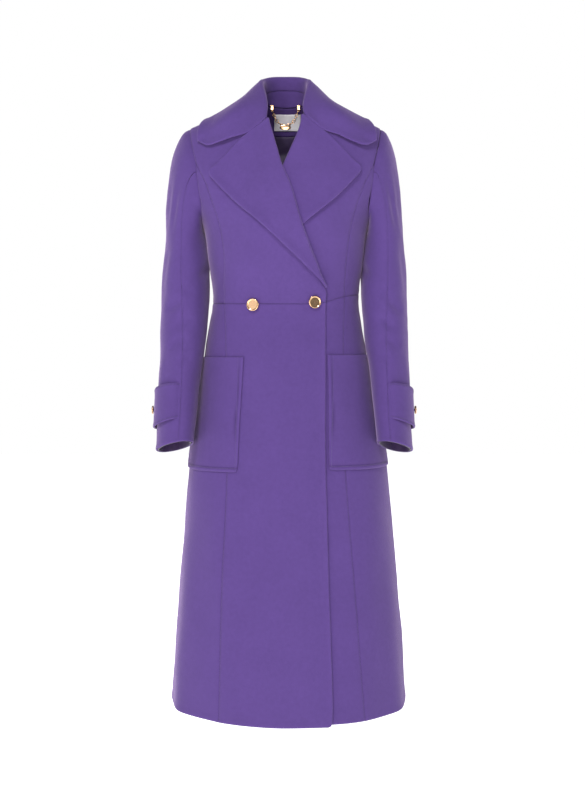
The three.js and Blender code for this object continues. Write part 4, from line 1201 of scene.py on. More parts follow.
# Radius and thickness of a button, radius and length of its shank
FRONT_BUTTON_SIZE = (11.2, 3.2, 2.4, 2.2)
CUFF_BUTTON_SIZE = (7.5, 2.6, 1.8, 1.8)
BUTTON_SEAT = 0.6  # its shank starts this far above the cloth
FRONT_BUTTON = {-1: (-55.5, -360.3), 1: (50.5, -355)}
BUTTON_SIDES = 72
# Profile of a button as shares of its radius and thickness, from the rim's underside to the middle
BUTTON_FACE = (
    (0.86, 0.02),
    (0.95, 0.1),
    (0.99, 0.3),
    (1.0, 0.55),
    (0.985, 0.8),
    (0.95, 0.95),
    (0.9, 1.0),
    (0.85, 0.96),
    (0.81, 0.84),
    (0.77, 0.76),
    (0.72, 0.75),
    (0.5, 0.757),
    (0.25, 0.762),
    (0.0, 0.763),
)
CHAIN_X, CHAIN_Y, CHAIN_Z, CHAIN_SPAN, CHAIN_DROP = -0.5, 41.6, 7, 50, 31
CHAIN_SHARES = np.array([-1, -0.85, -0.55, 0, 0.55, 0.85, 1])  # its points from end to end
WIRE, LINK_LONG, LINK_WIDE, LINK_PITCH = 0.8, 3.6, 2.3, 6.1
BAR = (6, 3, 9)
PLATE = (11, 5.2, 0.9)
STITCH_RADIUS, STITCH_LIFT = 0.34, 0.12
POCKET_STITCH_ROW, STRAP_STITCH_ROW = 6, 4  # rows of the cloth's grid that carry the stitches


def frame_of(direction):
    """Two directions square to this one."""
    direction = unit(np.asarray(direction, float))
    helper = np.array([0, 0, 1.0]) if abs(direction[2]) < 0.9 else np.array([1.0, 0, 0])
    first = unit(np.cross(helper, direction))
    return first, np.cross(direction, first), direction


def capped_rings(rings, sides, offset=0, flip=False):
    """Faces of a stack of rings that closes at two end points, which come after its rings."""
    last = offset + rings * sides
    faces = []
    for k in range(sides):
        after = (k + 1) % sides
        faces.append((last, offset + after, offset + k))
        faces.append((last + 1, last - sides + k, last - sides + after))
        for j in range(rings - 1):
            low, high = offset + j * sides, offset + (j + 1) * sides
            faces.append((low + k, low + after, high + after, high + k))
    return [(face[0], *face[:0:-1]) for face in faces] if flip else faces


def lathe(profile, seat, outward, sides):
    """Vertices and faces of a turned form whose first and last profile points are on its axis."""
    first, second, axis = frame_of(outward)
    turns = np.arange(sides) * 2 * math.pi / sides
    ring = np.cos(turns)[:, None] * first + np.sin(turns)[:, None] * second
    rings = [seat + r * ring + h * axis for r, h in profile[1:-1]]
    ends = [seat + profile[0][1] * axis, seat + profile[-1][1] * axis]
    return np.vstack([*rings, ends]), capped_rings(len(rings), sides)


def button_mesh(name, size, seat, outward, material):
    """A button with its shank."""
    radius, thick, shank_radius, shank = size
    profile = [(0, 0), (shank_radius, 0), (shank_radius, shank)]
    profile += [(radius * r, shank + thick * h) for r, h in BUTTON_FACE]
    vertices, faces = lathe(profile, seat, outward, BUTTON_SIDES)
    return add_mesh(name, vertices, faces, material)


def front_seat(side):
    """Where a front button stands, and which way it faces."""
    x, z = FRONT_BUTTON[side]
    angle = angle_of_x(x, z)
    outward = body_normal(angle, z)
    height = float(overlap_lift(x, z)) + CLOTH + BUTTON_SEAT
    return body_point(angle, z) + outward * height, outward


def cuff_seat(side):
    """Where a cuff button stands on its strap, and which way it faces."""
    angle = STRAP_END + STRAP_BUTTON
    middle = (STRAP_TOP + STRAP_BOTTOM) / 2
    along = (angle - STRAP_START) / (STRAP_END - STRAP_START)
    seat = ring_points(side, angle, middle, strap_lift(along) + CLOTH + BUTTON_SEAT)
    _, _, out, depth, turn, _, _ = ring_at(middle)
    around, spin = math.radians(angle), math.radians(-turn)
    x, y = math.cos(around) / out, -math.sin(around) / depth
    outward = (
        side * (x * math.cos(spin) - y * math.sin(spin)),
        x * math.sin(spin) + y * math.cos(spin),
        0,
    )
    return seat, unit(np.array(outward))


def link_points(place, tangent, upright, big, small):
    """A ring of wire, longer along the chain than across it."""
    cos, sin = np.cos(big)[:, None], np.sin(big)[:, None]
    middle = LINK_LONG * cos * tangent + LINK_WIDE * sin * upright
    outward = unit(cos / LINK_LONG * tangent + sin / LINK_WIDE * upright)
    square = np.cross(tangent, upright)
    return (
        place
        + middle[:, None]
        + WIRE * np.cos(small)[None, :, None] * outward[:, None]
        + WIRE * np.sin(small)[None, :, None] * square
    )


def ring_faces(along, round_wire, offset):
    """Faces of a closed ring of wire."""
    steps_on = [(i * round_wire, (i + 1) % along * round_wire) for i in range(along)]
    return [
        (offset + a + j, offset + b + j, offset + b + jj, offset + a + jj)
        for a, b in steps_on
        for j, jj in zip(range(round_wire), [*range(1, round_wire), 0])
    ]


def chain_parts():
    """Rings, bars and a small bare plate of the hanging chain."""
    sag = CHAIN_DROP * (1 - np.abs(CHAIN_SHARES) ** 2.6)
    across = CHAIN_X + CHAIN_SHARES * CHAIN_SPAN / 2
    stops = np.stack([across, np.full(len(sag), CHAIN_Y), CHAIN_Z - sag], axis=-1)
    curve = smooth_curve(stops)
    fine = curve(np.linspace(0, 1, 400))
    lengths = path_lengths(fine)
    links = round(lengths[-1] / LINK_PITCH)
    along, round_wire = 28, 12
    vertices, faces = [], []
    big = np.arange(along) * 2 * math.pi / along
    small = np.arange(round_wire) * 2 * math.pi / round_wire
    for k in range(links + 1):
        before, place, after = (
            on_path(fine, lengths, lengths[-1] * k / links + shift) for shift in (-1, 0, 1)
        )
        tangent = unit(after - before)
        level = unit(np.cross(tangent, (0, 1.0, 0)))
        upright = np.array([0, 1.0, 0]) if k % 2 else level
        faces += ring_faces(along, round_wire, sum(len(v) for v in vertices))
        vertices.append(link_points(place, tangent, upright, big, small).reshape(-1, 3))
    for end in (stops[0], stops[-1]):
        centre = end + (0, BAR[1] / 4, BAR[2] * 0.4)
        add_rounded(vertices, faces, centre, np.array(BAR) / 2, 0.16)
    lowest = curve(0.5) + (0, -1.6, -3.0)
    add_rounded(vertices, faces, lowest, np.array(PLATE)[[0, 2, 1]], 1.0)
    return np.vstack(vertices), faces


def add_rounded(vertices, faces, centre, half, power):
    """Adds a rounded bar (a low power) or a flat oval plate (power 1) to a form."""
    rings, sides = 14, 28
    offset = sum(len(v) for v in vertices)
    rise = np.linspace(-math.pi / 2, math.pi / 2, rings + 1)[1:-1]
    turn = np.arange(sides) * 2 * math.pi / sides
    level = signed_power(np.sin(rise), power)[:, None]
    span = signed_power(np.cos(rise), power)[:, None]
    x = half[0] * span * signed_power(np.cos(turn), power)[None]
    z = half[2] * span * signed_power(np.sin(turn), power)[None]
    y = half[1] * np.broadcast_to(level, x.shape)
    grid = np.stack([x, y, z], axis=-1) + centre
    ends = centre + np.array([[0, -half[1], 0], [0, half[1], 0]])
    vertices.append(np.vstack([grid.reshape(-1, 3), ends]))
    faces.extend(capped_rings(rings - 1, sides, offset, flip=True))


def stitch_run(name, paths, pitch, length, material):
    """Short rounded stitches laid along paths of points and outward directions."""
    rings, sides = 5, 6
    vertices, faces = [], []
    rise = np.linspace(-math.pi / 2, math.pi / 2, rings + 2)[1:-1]
    turn = np.arange(sides) * 2 * math.pi / sides
    for points, normals in paths:
        lengths = path_lengths(points)
        for place in np.arange(pitch / 2, lengths[-1], pitch):
            start, middle, end = (
                on_path(points, lengths, place + shift) for shift in (-length / 2, 0, length / 2)
            )
            out = unit(on_path(normals, lengths, place))
            along = unit(end - start)
            aside = np.cross(out, along)
            centre = middle + out * STITCH_LIFT
            ring = (
                centre
                + (np.sin(rise) * length / 2)[:, None, None] * along
                + STITCH_RADIUS * np.cos(rise)[:, None, None] ** 0.6
                * (np.cos(turn)[None, :, None] * aside + np.sin(turn)[None, :, None] * out)
            )
            offset = len(vertices) * (rings * sides + 2)
            tips = [centre - along * length / 2, centre + along * length / 2]
            vertices.append(np.vstack([ring.reshape(-1, 3), tips]))
            faces += capped_rings(rings, sides, offset)
    return add_mesh(name, np.vstack(vertices), faces, material)


# Materials


class Value:
    """A shader socket that takes part in ordinary sums."""

    def __init__(self, nodes, socket):
        self.nodes, self.socket = nodes, socket

    def sum(self, operation, *terms):
        return self.nodes.add("ShaderNodeMath", {"operation": operation}, dict(enumerate(terms)))

    def __add__(self, other):
        return self.sum("ADD", self, other)

    def __mul__(self, other):
        return self.sum("MULTIPLY", self, other)

    __radd__, __rmul__ = __add__, __mul__


class Nodes:
    """The nodes of one material."""

    def __init__(self, name):
        self.material = bpy.data.materials.new(name)
        self.material.use_nodes = True
        self.tree = self.material.node_tree
        self.tree.nodes.clear()

    def add(self, kind, settings=None, values=None, output=0):
        """Any node: its type, its settings, the values or links of its sockets, and the output."""
        node = self.tree.nodes.new(kind)
        for key, setting in (settings or {}).items():
            setattr(node, key, setting)
        for key, value in (values or {}).items():
            if isinstance(value, Value):
                self.tree.links.new(value.socket, node.inputs[key])
            else:
                node.inputs[key].default_value = value
        return Value(self, node.outputs[output]) if node.outputs else None

    def place(self, scale=(1, 1, 1)):
        at = self.add("ShaderNodeTexCoord", output="Object")
        return self.add("ShaderNodeMapping", values={"Vector": at, "Scale": scale})

    def noise(self, at, scale, detail=2.0, rough=0.5):
        values = {"Vector": at, "Scale": scale, "Detail": detail, "Roughness": rough}
        return self.add("ShaderNodeTexNoise", values=values)

    def blend(self, share, first, second):
        return self.add("ShaderNodeMix", {"data_type": "RGBA"}, {0: share, 6: first, 7: second}, 2)

    def measure(self, name):
        return self.add("ShaderNodeAttribute", {"attribute_name": name}, output="Fac")

    def finish(self, values):
        shader = self.add("ShaderNodeBsdfPrincipled", values=values)
        self.add("ShaderNodeOutputMaterial", values={"Surface": shader})
        return self.material


def paint(colour, strength):
    """A colour made darker or paler."""
    return (*(min(1.0, channel * strength) for channel in colour), 1.0)


def wool_material(name, colour, nap_size, nap_height):
    """Brushed wool coating: mottled, with a short nap, paler on edges (partly wear, partly painted
    highlight) and darker in seams (painted shade).
    """
    nodes = Nodes(name)
    at = nodes.place()
    broad = nodes.noise(at, 22.0, 3.0)
    cloudy = nodes.noise(at, 140.0, 3.0, 0.6)
    nap = nodes.noise(nodes.place((1, 1, 0.45)), 1 / nap_size, 3.0, 0.62)
    fibre = nodes.noise(nodes.place((1, 1, 0.16)), 1.6 / nap_size, 2.0, 0.7)
    shade = broad * 0.2 + cloudy * 0.34 + nap * 0.3 + fibre * 0.1
    base = nodes.blend(shade, paint(colour, 0.72), paint(colour, 1.38))
    wear_and_highlight, seam_shade = nodes.measure("wear_and_highlight"), nodes.measure("seam_shade")
    # Paler towards free edges: partly wear, partly a painted highlight on the rolled edges.
    edge_toned = nodes.blend(wear_and_highlight * (0.12 + nap * 0.3), base, paint(colour, 1.4))
    # Painted shade in seams and stitch dips.
    dark = nodes.blend(seam_shade * 0.75, edge_toned, paint(colour, 0.22))
    bump = nodes.add(
        "ShaderNodeBump",
        values={
            "Strength": 0.55,
            "Distance": nap_height,
            "Height": nap * 0.7 + fibre * 0.35 + cloudy * 0.8,
        },
    )
    return nodes.finish(
        {
            "Base Color": dark,
            "Roughness": 0.86 + nap * 0.12,
            "Specular IOR Level": 0.18,
            "Sheen Weight": 0.4,
            "Sheen Roughness": 0.42,
            "Sheen Tint": (0.62, 0.47, 0.72, 1),
            "Normal": bump,
        }
    )


def satin_material(name, colour):
    """Lining satin with fine threads across it."""
    nodes = Nodes(name)
    at = nodes.place()
    threads = nodes.noise(nodes.place((1, 1, 9)), 260.0, 2.0)
    cloudy = nodes.noise(at, 30.0, 2.0)
    base = nodes.blend(threads * 0.3 + cloudy * 0.4, paint(colour, 0.75), paint(colour, 1.3))
    bump = nodes.add(
        "ShaderNodeBump", values={"Strength": 0.25, "Distance": 0.00012, "Height": threads}
    )
    return nodes.finish(
        {
            "Base Color": base,
            "Roughness": 0.34 + threads * 0.14,
            "Specular IOR Level": 0.5,
            "Sheen Weight": 0.15,
            "Normal": bump,
        }
    )


def woven_material(name, colour):
    """Close white weave of the bare label."""
    nodes = Nodes(name)
    warp = nodes.noise(nodes.place((14, 14, 1)), 120.0, 1.0)
    weft = nodes.noise(nodes.place((1, 1, 14)), 120.0, 1.0)
    base = nodes.blend(warp * 0.5 + weft * 0.5, paint(colour, 0.86), paint(colour, 1.08))
    # Darker towards its edges.
    edge_toned = nodes.blend(nodes.measure("wear_and_highlight") * 0.5, base, paint(colour, 0.8))
    bump = nodes.add(
        "ShaderNodeBump", values={"Strength": 0.4, "Distance": 0.00015, "Height": warp + weft}
    )
    return nodes.finish({"Base Color": edge_toned, "Roughness": 0.5 + weft * 0.15, "Normal": bump})


def brass_material(name, colour):
    """Warm gold-coloured brass, polished, with faint handling marks."""
    nodes = Nodes(name)
    at = nodes.place()
    cloudy = nodes.noise(at, 160.0, 3.0)
    scratches = nodes.noise(nodes.place((1, 6, 1)), 900.0, 2.0, 0.7)
    base = nodes.blend(cloudy * 0.7, paint(colour, 0.82), paint(colour, 1.12))
    bump = nodes.add(
        "ShaderNodeBump", values={"Strength": 0.12, "Distance": 0.00006, "Height": scratches}
    )
    return nodes.finish(
        {
            "Base Color": base,
            "Metallic": 1.0,
            "Roughness": 0.12 + cloudy * 0.1 + scratches * 0.05,
            "Normal": bump,
        }
    )


def thread_material(name, colour):
    """Thread of the stitches, with its ply."""
    nodes = Nodes(name)
    ply = nodes.noise(nodes.place(), 2600.0, 1.0)
    base = nodes.blend(ply, paint(colour, 0.7), paint(colour, 1.3))
    return nodes.finish({"Base Color": base, "Roughness": 0.6 + ply * 0.2, "Sheen Weight": 0.2})


def floor_material(name, colour):
    """The pale floor, which glows so that it stays even."""
    nodes = Nodes(name)
    grain = nodes.noise(nodes.place(), 4.0, 2.0)
    base = nodes.blend(grain, paint(colour, 0.97), paint(colour, 1.03))
    return nodes.finish(
        {
            "Base Color": base,
            "Roughness": 0.8 + grain * 0.1,
            "Emission Color": (1, 1, 1, 1),
            "Emission Strength": 1.0,
        }
    )


MATERIALS = {}


def finish_of(key):
    """The material of a finish, made once from the panel's colours and sizes."""
    if key not in MATERIALS:
        look = bpy.context.scene.coat_look
        makers = {
            "coating": lambda: wool_material(
                "violet_wool", look.wool, look.nap_size, look.nap_height
            ),
            "lining": lambda: satin_material("dark_satin", look.lining),
            "label": lambda: woven_material("white_weave", look.label),
            "gold_trim": lambda: brass_material("gold_brass", look.metal),
            "thread": lambda: thread_material("violet_thread", look.wool),
        }
        MATERIALS[key] = makers[key]()
    return MATERIALS[key]


# Pieces


def dress(piece, node, rests_on=()):
    """Puts a finished sheet in the place of its solid."""
    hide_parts(node)
    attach(piece, "root")
    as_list(rests_on)


def ride_along(piece):
    """A further piece that goes with the coat's one body."""
    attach(piece, "root")
    return piece


def edge_kinds(left=SEAM, right=SEAM, bottom=SEAM, top=SEAM):
    """What each side of a piece is."""
    return {"left": left, "right": right, "bottom": bottom, "top": top}


def body_piece(node, chart, size, edges, side=0, rests_on=()):
    """A panel on the body; the right side's lie over the left front."""
    lift = overlap_lift if side < 0 else no_lift
    points, normal = body_sheet(chart, size, lift)
    piece, _, _ = add_cloth(node + "_cloth", points, CLOTH, edges, finish_of("coating"), normal)
    dress(piece, node, rests_on=rests_on)


def make_skirt():
    sewn = edge_kinds(bottom=FREE, top=DEEP)
    for word, side in RIGHT_LEFT:
        for part, chart, width, edges, lifted in (
            ("front", skirt_front_chart(side), 185, {**sewn, "right": FREE}, side),
            ("side", skirt_side_chart(side), 160, sewn, side),
            ("back", skirt_back_chart(side), 330, sewn, 0),
        ):
            size, above = (width, SKIRT_LENGTH), [f"bodice_{part}_{word}"]
            body_piece(f"skirt_{part}_{word}", chart, size, edges, lifted, above)


def make_bodice():
    for word, side in RIGHT_LEFT:
        front_chart = bodice_front_chart(side)
        heights = front_chart(np.array([1.0]), steps(370, 6.0))[:, 0, 1]
        folded_edge = 1 - ease(heights, BREAK_Z - 2, BREAK_Z + 6)
        beside = [f"bodice_front_{word}", f"bodice_back_{word}"]
        for part, chart, size, right, lifted, held_by in (
            ("front", front_chart, (150, 370), folded_edge, side, ["collar_stand"]),
            ("side", bodice_side_chart(side), (80, 190), SEAM, 0, beside),
            ("back", bodice_back_chart(side), (165, 370), SEAM, 0, ["collar_stand"]),
        ):
            edges = edge_kinds(right=right)
            body_piece(f"bodice_{part}_{word}", chart, size, edges, lifted, held_by)


def make_sleeves():
    turn = 0.2
    for word, side in RIGHT_LEFT:
        for part, start, end, size in (
            ("upper", SLEEVE_BACK - 360 + turn, SLEEVE_FRONT - turn, (220, 640)),
            ("under", SLEEVE_FRONT + turn, SLEEVE_BACK - turn, (125, 560)),
        ):
            node = f"sleeve_{part}_{word}"
            points, like = sleeve_sheet(side, start, end, size, CLOTH / 2)
            edges = edge_kinds(top=FREE)
            front_side = "right" if part == "upper" else "left"
            piece, _, _ = add_cloth(
                node + "_cloth", points, CLOTH, edges, finish_of("coating"), like,
                faint=(front_side,),
            )
            dress(piece, node, rests_on=[f"bodice_front_{word}", f"bodice_back_{word}"])
        node = f"lining_cuff_{word}"
        lowest = len(CAP_STEPS) + len(SLEEVE_RINGS) - 3
        points, like = sleeve_sheet(
            side, SLEEVE_BACK - 360 + 1.2, SLEEVE_BACK - 1.2, (250, 110), -2.0, lowest
        )
        piece, _, _ = add_cloth(
            node + "_cloth", points, LINING, edge_kinds(), finish_of("lining"), like
        )
        dress(piece, node, rests_on=[f"sleeve_under_{word}"])


def make_collar():
    points, like = collar_sheet()
    edges = edge_kinds(FREE, FREE, SEAM, FREE)
    piece, _, _ = add_cloth("collar_cloth", points, COLLAR_CLOTH, edges, finish_of("coating"), like)
    dress(piece, "collar", rests_on=["collar_stand"])
    points, like = stand_sheet()
    piece, _, _ = add_cloth(
        "collar_stand_cloth", points, CLOTH, edge_kinds(), finish_of("coating"), like
    )
    dress(piece, "collar_stand", rests_on=["neck_facing"])
    for word, side in RIGHT_LEFT:
        points, like = lapel_sheet(side)
        node = f"lapel_{word}"
        edges = {"left": FREE, "top": FREE, "bottom": FREE}
        piece, _, _ = add_cloth(node + "_cloth", points, CLOTH, edges, finish_of("coating"), like)
        dress(piece, node, rests_on=[f"bodice_front_{word}"])


def stitched_piece(node, grid, edges, row, sides, runs, rests_on):
    """A piece laid on another, with stitches along runs of its grid."""
    look = bpy.context.scene.coat_look
    points, like = grid
    piece, outer, normals = add_cloth(
        node + "_cloth", points, CLOTH, edges, finish_of("coating"), like, row, sides
    )
    paths = [(outer[run], normals[run]) for run in runs]
    pitch, length = look.stitch_pitch / MM, look.stitch_length / MM
    stitches = stitch_run(node + "_stitches", paths, pitch, length, finish_of("thread"))
    ride_along(stitches)
    dress(piece, node, rests_on=[rests_on])


def make_pockets():
    k = POCKET_STITCH_ROW
    edges = edge_kinds(FREE, FREE, FREE, FREE)
    runs = ((slice(k, -1), k), (k, slice(k, -k)), (slice(k, -1), -1 - k))
    for word, side in RIGHT_LEFT:
        grid = body_sheet(pocket_chart(side), (90, 200), pocket_lift(side), step=4.0)
        sides = ("left", "right", "bottom")
        stitched_piece(f"pocket_{word}", grid, edges, k, sides, runs, f"skirt_side_{word}")


def make_straps():
    k = STRAP_STITCH_ROW
    edges = edge_kinds(SEAM, FREE, FREE, FREE)
    runs = ((k, slice(1, -k)), (slice(k, -k), -1 - k), (-1 - k, slice(1, -k)))
    for word, side in RIGHT_LEFT:
        node, sides = f"sleeve_strap_{word}", ("right", "bottom", "top")
        stitched_piece(node, strap_sheet(side), edges, k, sides, runs, f"sleeve_upper_{word}")


# Wrinkles of the back lining, in x and height: middle, height, tilt, length, width, depth
LINING_FOLDS = (
    (-40, -110, 55, 120, 9, -1.8),
    (-14, -140, 60, 140, 10, 1.6),
    (18, -120, 52, 120, 9, -1.6),
    (44, -150, 48, 120, 10, 1.7),
    (-30, -190, -50, 110, 10, -1.5),
    (10, -215, -58, 120, 11, 1.4),
    (36, -240, -52, 110, 10, -1.4),
    (-10, -280, 40, 120, 12, 1.2),
    (0, -70, 70, 90, 8, 1.2),
)


def lining_lift(x, z):
    """How far inside the lining hangs, with its wrinkles."""
    ruffle = folds(LINING_FOLDS, x, z, 1.0, 4000)
    return LINING_LIFT - 3.4 * ease(-z, 60, 130) + 1.7 * ruffle * ease(-z, 44, 80)


def make_neck_inside():
    points, like = body_sheet(
        facing_chart, (150, 45), lambda x, z: FACING_LIFT + no_lift(x, z), step=4.0, relief=0
    )
    piece, _, _ = add_cloth(
        "neck_facing_cloth", points, CLOTH, edge_kinds(), finish_of("coating"), -like
    )
    dress(piece, "neck_facing", rests_on=["bodice_back_right", "bodice_back_left"])
    points, like = body_sheet(lining_chart, (240, 310), lining_lift, LINING, 5.0, 0)
    piece, _, _ = add_cloth(
        "lining_back_cloth", points, LINING, edge_kinds(), finish_of("lining"), -like
    )
    dress(piece, "lining_back", rests_on=["neck_facing"])
    lift = FACING_LIFT - LAYER_GAP - LABEL_THICK
    points, like = body_sheet(
        label_chart, (52, 30), lambda x, z: lift + no_lift(x, z), LABEL_THICK, 2.0, 0
    )
    edges = edge_kinds(FREE, FREE, FREE, FREE)
    piece, _, _ = add_cloth(
        "neck_label_cloth", points, LABEL_THICK, edges, finish_of("label"), -like
    )
    dress(piece, "neck_label", rests_on=["neck_facing"])


def make_chain():
    vertices, faces = chain_parts()
    chain = add_mesh("hanging_chain_links", vertices, faces, finish_of("gold_trim"))
    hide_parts("hanging_chain")
    ride_along(chain)


def make_buttons():
    for word, side in RIGHT_LEFT:
        for part, size, (seat, outward) in (
            ("front", FRONT_BUTTON_SIZE, front_seat(side)),
            ("cuff", CUFF_BUTTON_SIZE, cuff_seat(side)),
        ):
            node = f"button_{part}_{word}"
            piece = button_mesh(node + "_metal", size, seat, outward, finish_of("gold_trim"))
            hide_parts(node)
            ride_along(piece)


# Stage

CAMERA_PLACE = (0.013, -2.600, -0.351)
CAMERA_AIM = (0.013, 0.0, -0.351)
CAMERA_LENS = 63.2
CAMERA_SHIFT = -0.1252  # the picture's middle is lower than the camera


def aim(thing, place, target):
    """Places a camera or light and turns it to its target."""
    thing.location = place
    thing.rotation_euler = (Vector(target) - Vector(place)).to_track_quat("-Z", "Y").to_euler()
    bpy.context.scene.collection.objects.link(thing)


def area_light(name, place, target, size, power, colour, spread=180):
    """A soft light of this width and height."""
    light = bpy.data.lights.new(name, "AREA")
    light.spread = math.radians(spread)
    light.shape, light.size, light.size_y = "RECTANGLE", size[0], size[1]
    light.energy, light.color = power, colour
    aim(bpy.data.objects.new(name, light), place, target)


def make_stage():
    """The floor, the lights, the camera and the white room."""
    stage = bpy.context.scene.coat_stage
    camera = bpy.data.cameras.new("camera")
    camera.lens, camera.sensor_width, camera.shift_y = CAMERA_LENS, 36, CAMERA_SHIFT
    holder = bpy.data.objects.new("camera", camera)
    aim(holder, CAMERA_PLACE, CAMERA_AIM)
    bpy.context.scene.camera = holder
    half = 6000
    floor_z = stage.floor_height / MM
    corners = [(x, y, floor_z) for x, y in ((-half, -half), (half, -half), (half, half), (-half, half))]
    floor = add_mesh(
        "floor", np.array(corners, float), [(0, 1, 2, 3)], floor_material("pale_floor", stage.floor)
    )
    middle = (0, 0, -0.5)
    key, fill = stage.key_power, stage.fill_power
    area_light("key", (-0.9, -3.6, 3.4), middle, (1.2, 1.2), key, (0.95, 0.95, 1))
    area_light("left", (-1.9, -2.4, -0.4), middle, (1.9, 1.9), fill * 0.55, (0.98, 0.98, 1))
    area_light("right", (3.0, -1.0, 0.4), middle, (1.0, 2.0), fill * 0.6, (1, 1, 1))
    area_light("low", (-0.3, -2.2, -0.7), (0, 0, -0.6), (1.0, 1.0), fill * 0.8, (1, 0.94, 0.86))
    area_light("neck", (0.02, -1.7, 0.15), (0, 0.09, 0), (0.9, 0.9), fill * 0.009, (1, 1, 1), 14)
    area_light("side_left", (-2.6, 0.6, 0.2), middle, (1.2, 2.4), fill * 0.6, (1, 1, 1))
    area_light("side_right", (2.6, 0.6, 0.2), middle, (1.2, 2.4), fill * 0.6, (1, 1, 1))
    area_light("back", (0, 3.0, 0.8), middle, (2.4, 2.0), fill * 0.6, (1, 1, 1))
    world = bpy.data.worlds.new("studio")
    world.use_nodes = True
    nodes, links = world.node_tree.nodes, world.node_tree.links
    nodes.clear()
    seen, lit = nodes.new("ShaderNodeBackground"), nodes.new("ShaderNodeBackground")
    seen.inputs["Color"].default_value = (1, 1, 1, 1)
    lit.inputs["Color"].default_value = (0.95, 0.96, 1, 1)
    lit.inputs["Strength"].default_value = stage.room_light
    choice, path = nodes.new("ShaderNodeMixShader"), nodes.new("ShaderNodeLightPath")
    out = nodes.new("ShaderNodeOutputWorld")
    links.new(path.outputs["Is Camera Ray"], choice.inputs[0])
    links.new(lit.outputs[0], choice.inputs[1])
    links.new(seen.outputs[0], choice.inputs[2])
    links.new(choice.outputs[0], out.inputs["Surface"])
    bpy.context.scene.world = world
    bpy.context.scene.view_settings.view_transform = "Standard"


# The add-on: what can be changed, one operator for each group of pieces, and their panel


def linear(*channels):
    """A screen colour from 0 to 255 as light."""
    shares = [channel / 255 for channel in channels]
    return tuple(s / 12.92 if s <= 0.04045 else ((s + 0.055) / 1.055) ** 2.4 for s in shares)


def colour_property(name, description, default):
    return bpy.props.FloatVectorProperty(
        name=name, description=description, subtype="COLOR", size=3, min=0, max=1, default=default
    )


def length_property(name, description, default):
    return bpy.props.FloatProperty(
        name=name, description=description, unit="LENGTH", min=0, default=default, precision=5
    )


class CoatLook(bpy.types.PropertyGroup):
    """Colours and small sizes of the finishes."""

    wool: colour_property("Wool", "Colour of the coating", linear(75, 55, 112))
    lining: colour_property("Lining", "Colour of the satin lining", linear(58, 41, 80))
    label: colour_property("Label", "Colour of the bare neck label", linear(253, 247, 254))
    metal: colour_property("Metal", "Colour of buttons and chain", linear(220, 180, 140))
    nap_size: length_property("Nap size", "Size of the wool's short nap", 0.0011)
    nap_height: length_property("Nap height", "Height of the wool's short nap", 0.0005)
    stitch_pitch: length_property("Stitch pitch", "From one stitch to the next", 0.0034)
    stitch_length: length_property("Stitch length", "Length of a stitch", 0.0025)


class CoatStage(bpy.types.PropertyGroup):
    """Floor and lights of the stage."""

    floor: colour_property("Floor", "Colour of the floor", (0.9, 0.9, 0.91))
    floor_height: bpy.props.FloatProperty(
        name="Floor height", description="Height of the floor", unit="LENGTH", default=-1.3
    )
    key_power: bpy.props.FloatProperty(
        name="Key light", description="Power of the main light", unit="POWER", default=190
    )
    fill_power: bpy.props.FloatProperty(
        name="Fill lights", description="Power of the softer lights", unit="POWER", default=24
    )
    room_light: bpy.props.FloatProperty(
        name="Room light", description="Strength of the light from all round", default=0.22
    )


class COAT_OT_skirt(bpy.types.Operator):
    """Builds the six skirt panels"""

    bl_idname = "coat.skirt"
    bl_label = "Skirt panels"

    def execute(self, context):
        make_skirt()
        return {"FINISHED"}


class COAT_OT_bodice(bpy.types.Operator):
    """Builds the fronts, sides and back of the bodice"""

    bl_idname = "coat.bodice"
    bl_label = "Bodice panels"

    def execute(self, context):
        make_bodice()
        return {"FINISHED"}


class COAT_OT_sleeves(bpy.types.Operator):
    """Builds both two-piece sleeves with their cuff linings"""

    bl_idname = "coat.sleeves"
    bl_label = "Sleeves"

    def execute(self, context):
        make_sleeves()
        return {"FINISHED"}


class COAT_OT_collar(bpy.types.Operator):
    """Builds the collar, its stand and the lapels"""

    bl_idname = "coat.collar"
    bl_label = "Collar and lapels"

    def execute(self, context):
        make_collar()
        return {"FINISHED"}


class COAT_OT_pockets(bpy.types.Operator):
    """Builds the patch pockets with their stitches"""

    bl_idname = "coat.pockets"
    bl_label = "Pockets"

    def execute(self, context):
        make_pockets()
        return {"FINISHED"}


class COAT_OT_straps(bpy.types.Operator):
    """Builds the sleeve straps with their stitches"""

    bl_idname = "coat.straps"
    bl_label = "Sleeve straps"

    def execute(self, context):
        make_straps()
        return {"FINISHED"}


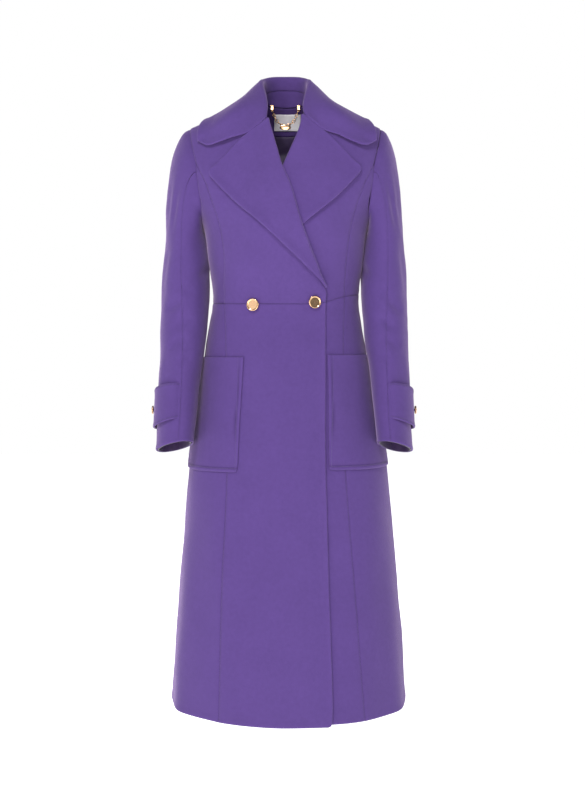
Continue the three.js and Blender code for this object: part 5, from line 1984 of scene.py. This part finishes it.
class COAT_OT_neck_inside(bpy.types.Operator):
    """Builds the neck facing, the back lining and the bare label"""

    bl_idname = "coat.neck_inside"
    bl_label = "Neck facing and lining"

    def execute(self, context):
        make_neck_inside()
        return {"FINISHED"}


class COAT_OT_chain(bpy.types.Operator):
    """Builds the hanging chain"""

    bl_idname = "coat.chain"
    bl_label = "Hanging chain"

    def execute(self, context):
        make_chain()
        return {"FINISHED"}


class COAT_OT_buttons(bpy.types.Operator):
    """Builds the front and cuff buttons"""

    bl_idname = "coat.buttons"
    bl_label = "Buttons"

    def execute(self, context):
        make_buttons()
        return {"FINISHED"}


class COAT_OT_stage(bpy.types.Operator):
    """Builds the floor, the lights and the camera"""

    bl_idname = "coat.stage"
    bl_label = "Stage"

    def execute(self, context):
        make_stage()
        return {"FINISHED"}


OPERATORS = (
    COAT_OT_skirt,
    COAT_OT_bodice,
    COAT_OT_sleeves,
    COAT_OT_collar,
    COAT_OT_pockets,
    COAT_OT_straps,
    COAT_OT_neck_inside,
    COAT_OT_chain,
    COAT_OT_buttons,
    COAT_OT_stage,
)


class COAT_PT_panel(bpy.types.Panel):
    """Lists the coat's pieces and what can be changed"""

    bl_idname = "COAT_PT_panel"
    bl_label = "Flared long coat"
    bl_space_type = "VIEW_3D"
    bl_region_type = "UI"
    bl_category = "Coat"

    def draw(self, context):
        for group in (context.scene.coat_look, context.scene.coat_stage):
            box = self.layout.box()
            for name in group.bl_rna.properties.keys():
                if name not in ("rna_type", "name"):
                    box.prop(group, name)
        for operator in OPERATORS:
            self.layout.operator(operator.bl_idname)


CLASSES = (CoatLook, CoatStage, *OPERATORS, COAT_PT_panel)


def register():
    for item in CLASSES:
        bpy.utils.register_class(item)
    bpy.types.Scene.coat_look = bpy.props.PointerProperty(type=CoatLook)
    bpy.types.Scene.coat_stage = bpy.props.PointerProperty(type=CoatStage)


def unregister():
    del bpy.types.Scene.coat_stage
    del bpy.types.Scene.coat_look
    for item in reversed(CLASSES):
        bpy.utils.unregister_class(item)


def main():
    register()
    for operator in OPERATORS:
        group, name = operator.bl_idname.split(".")
        getattr(getattr(bpy.ops, group), name)()


if __name__ == "__main__":
    main()
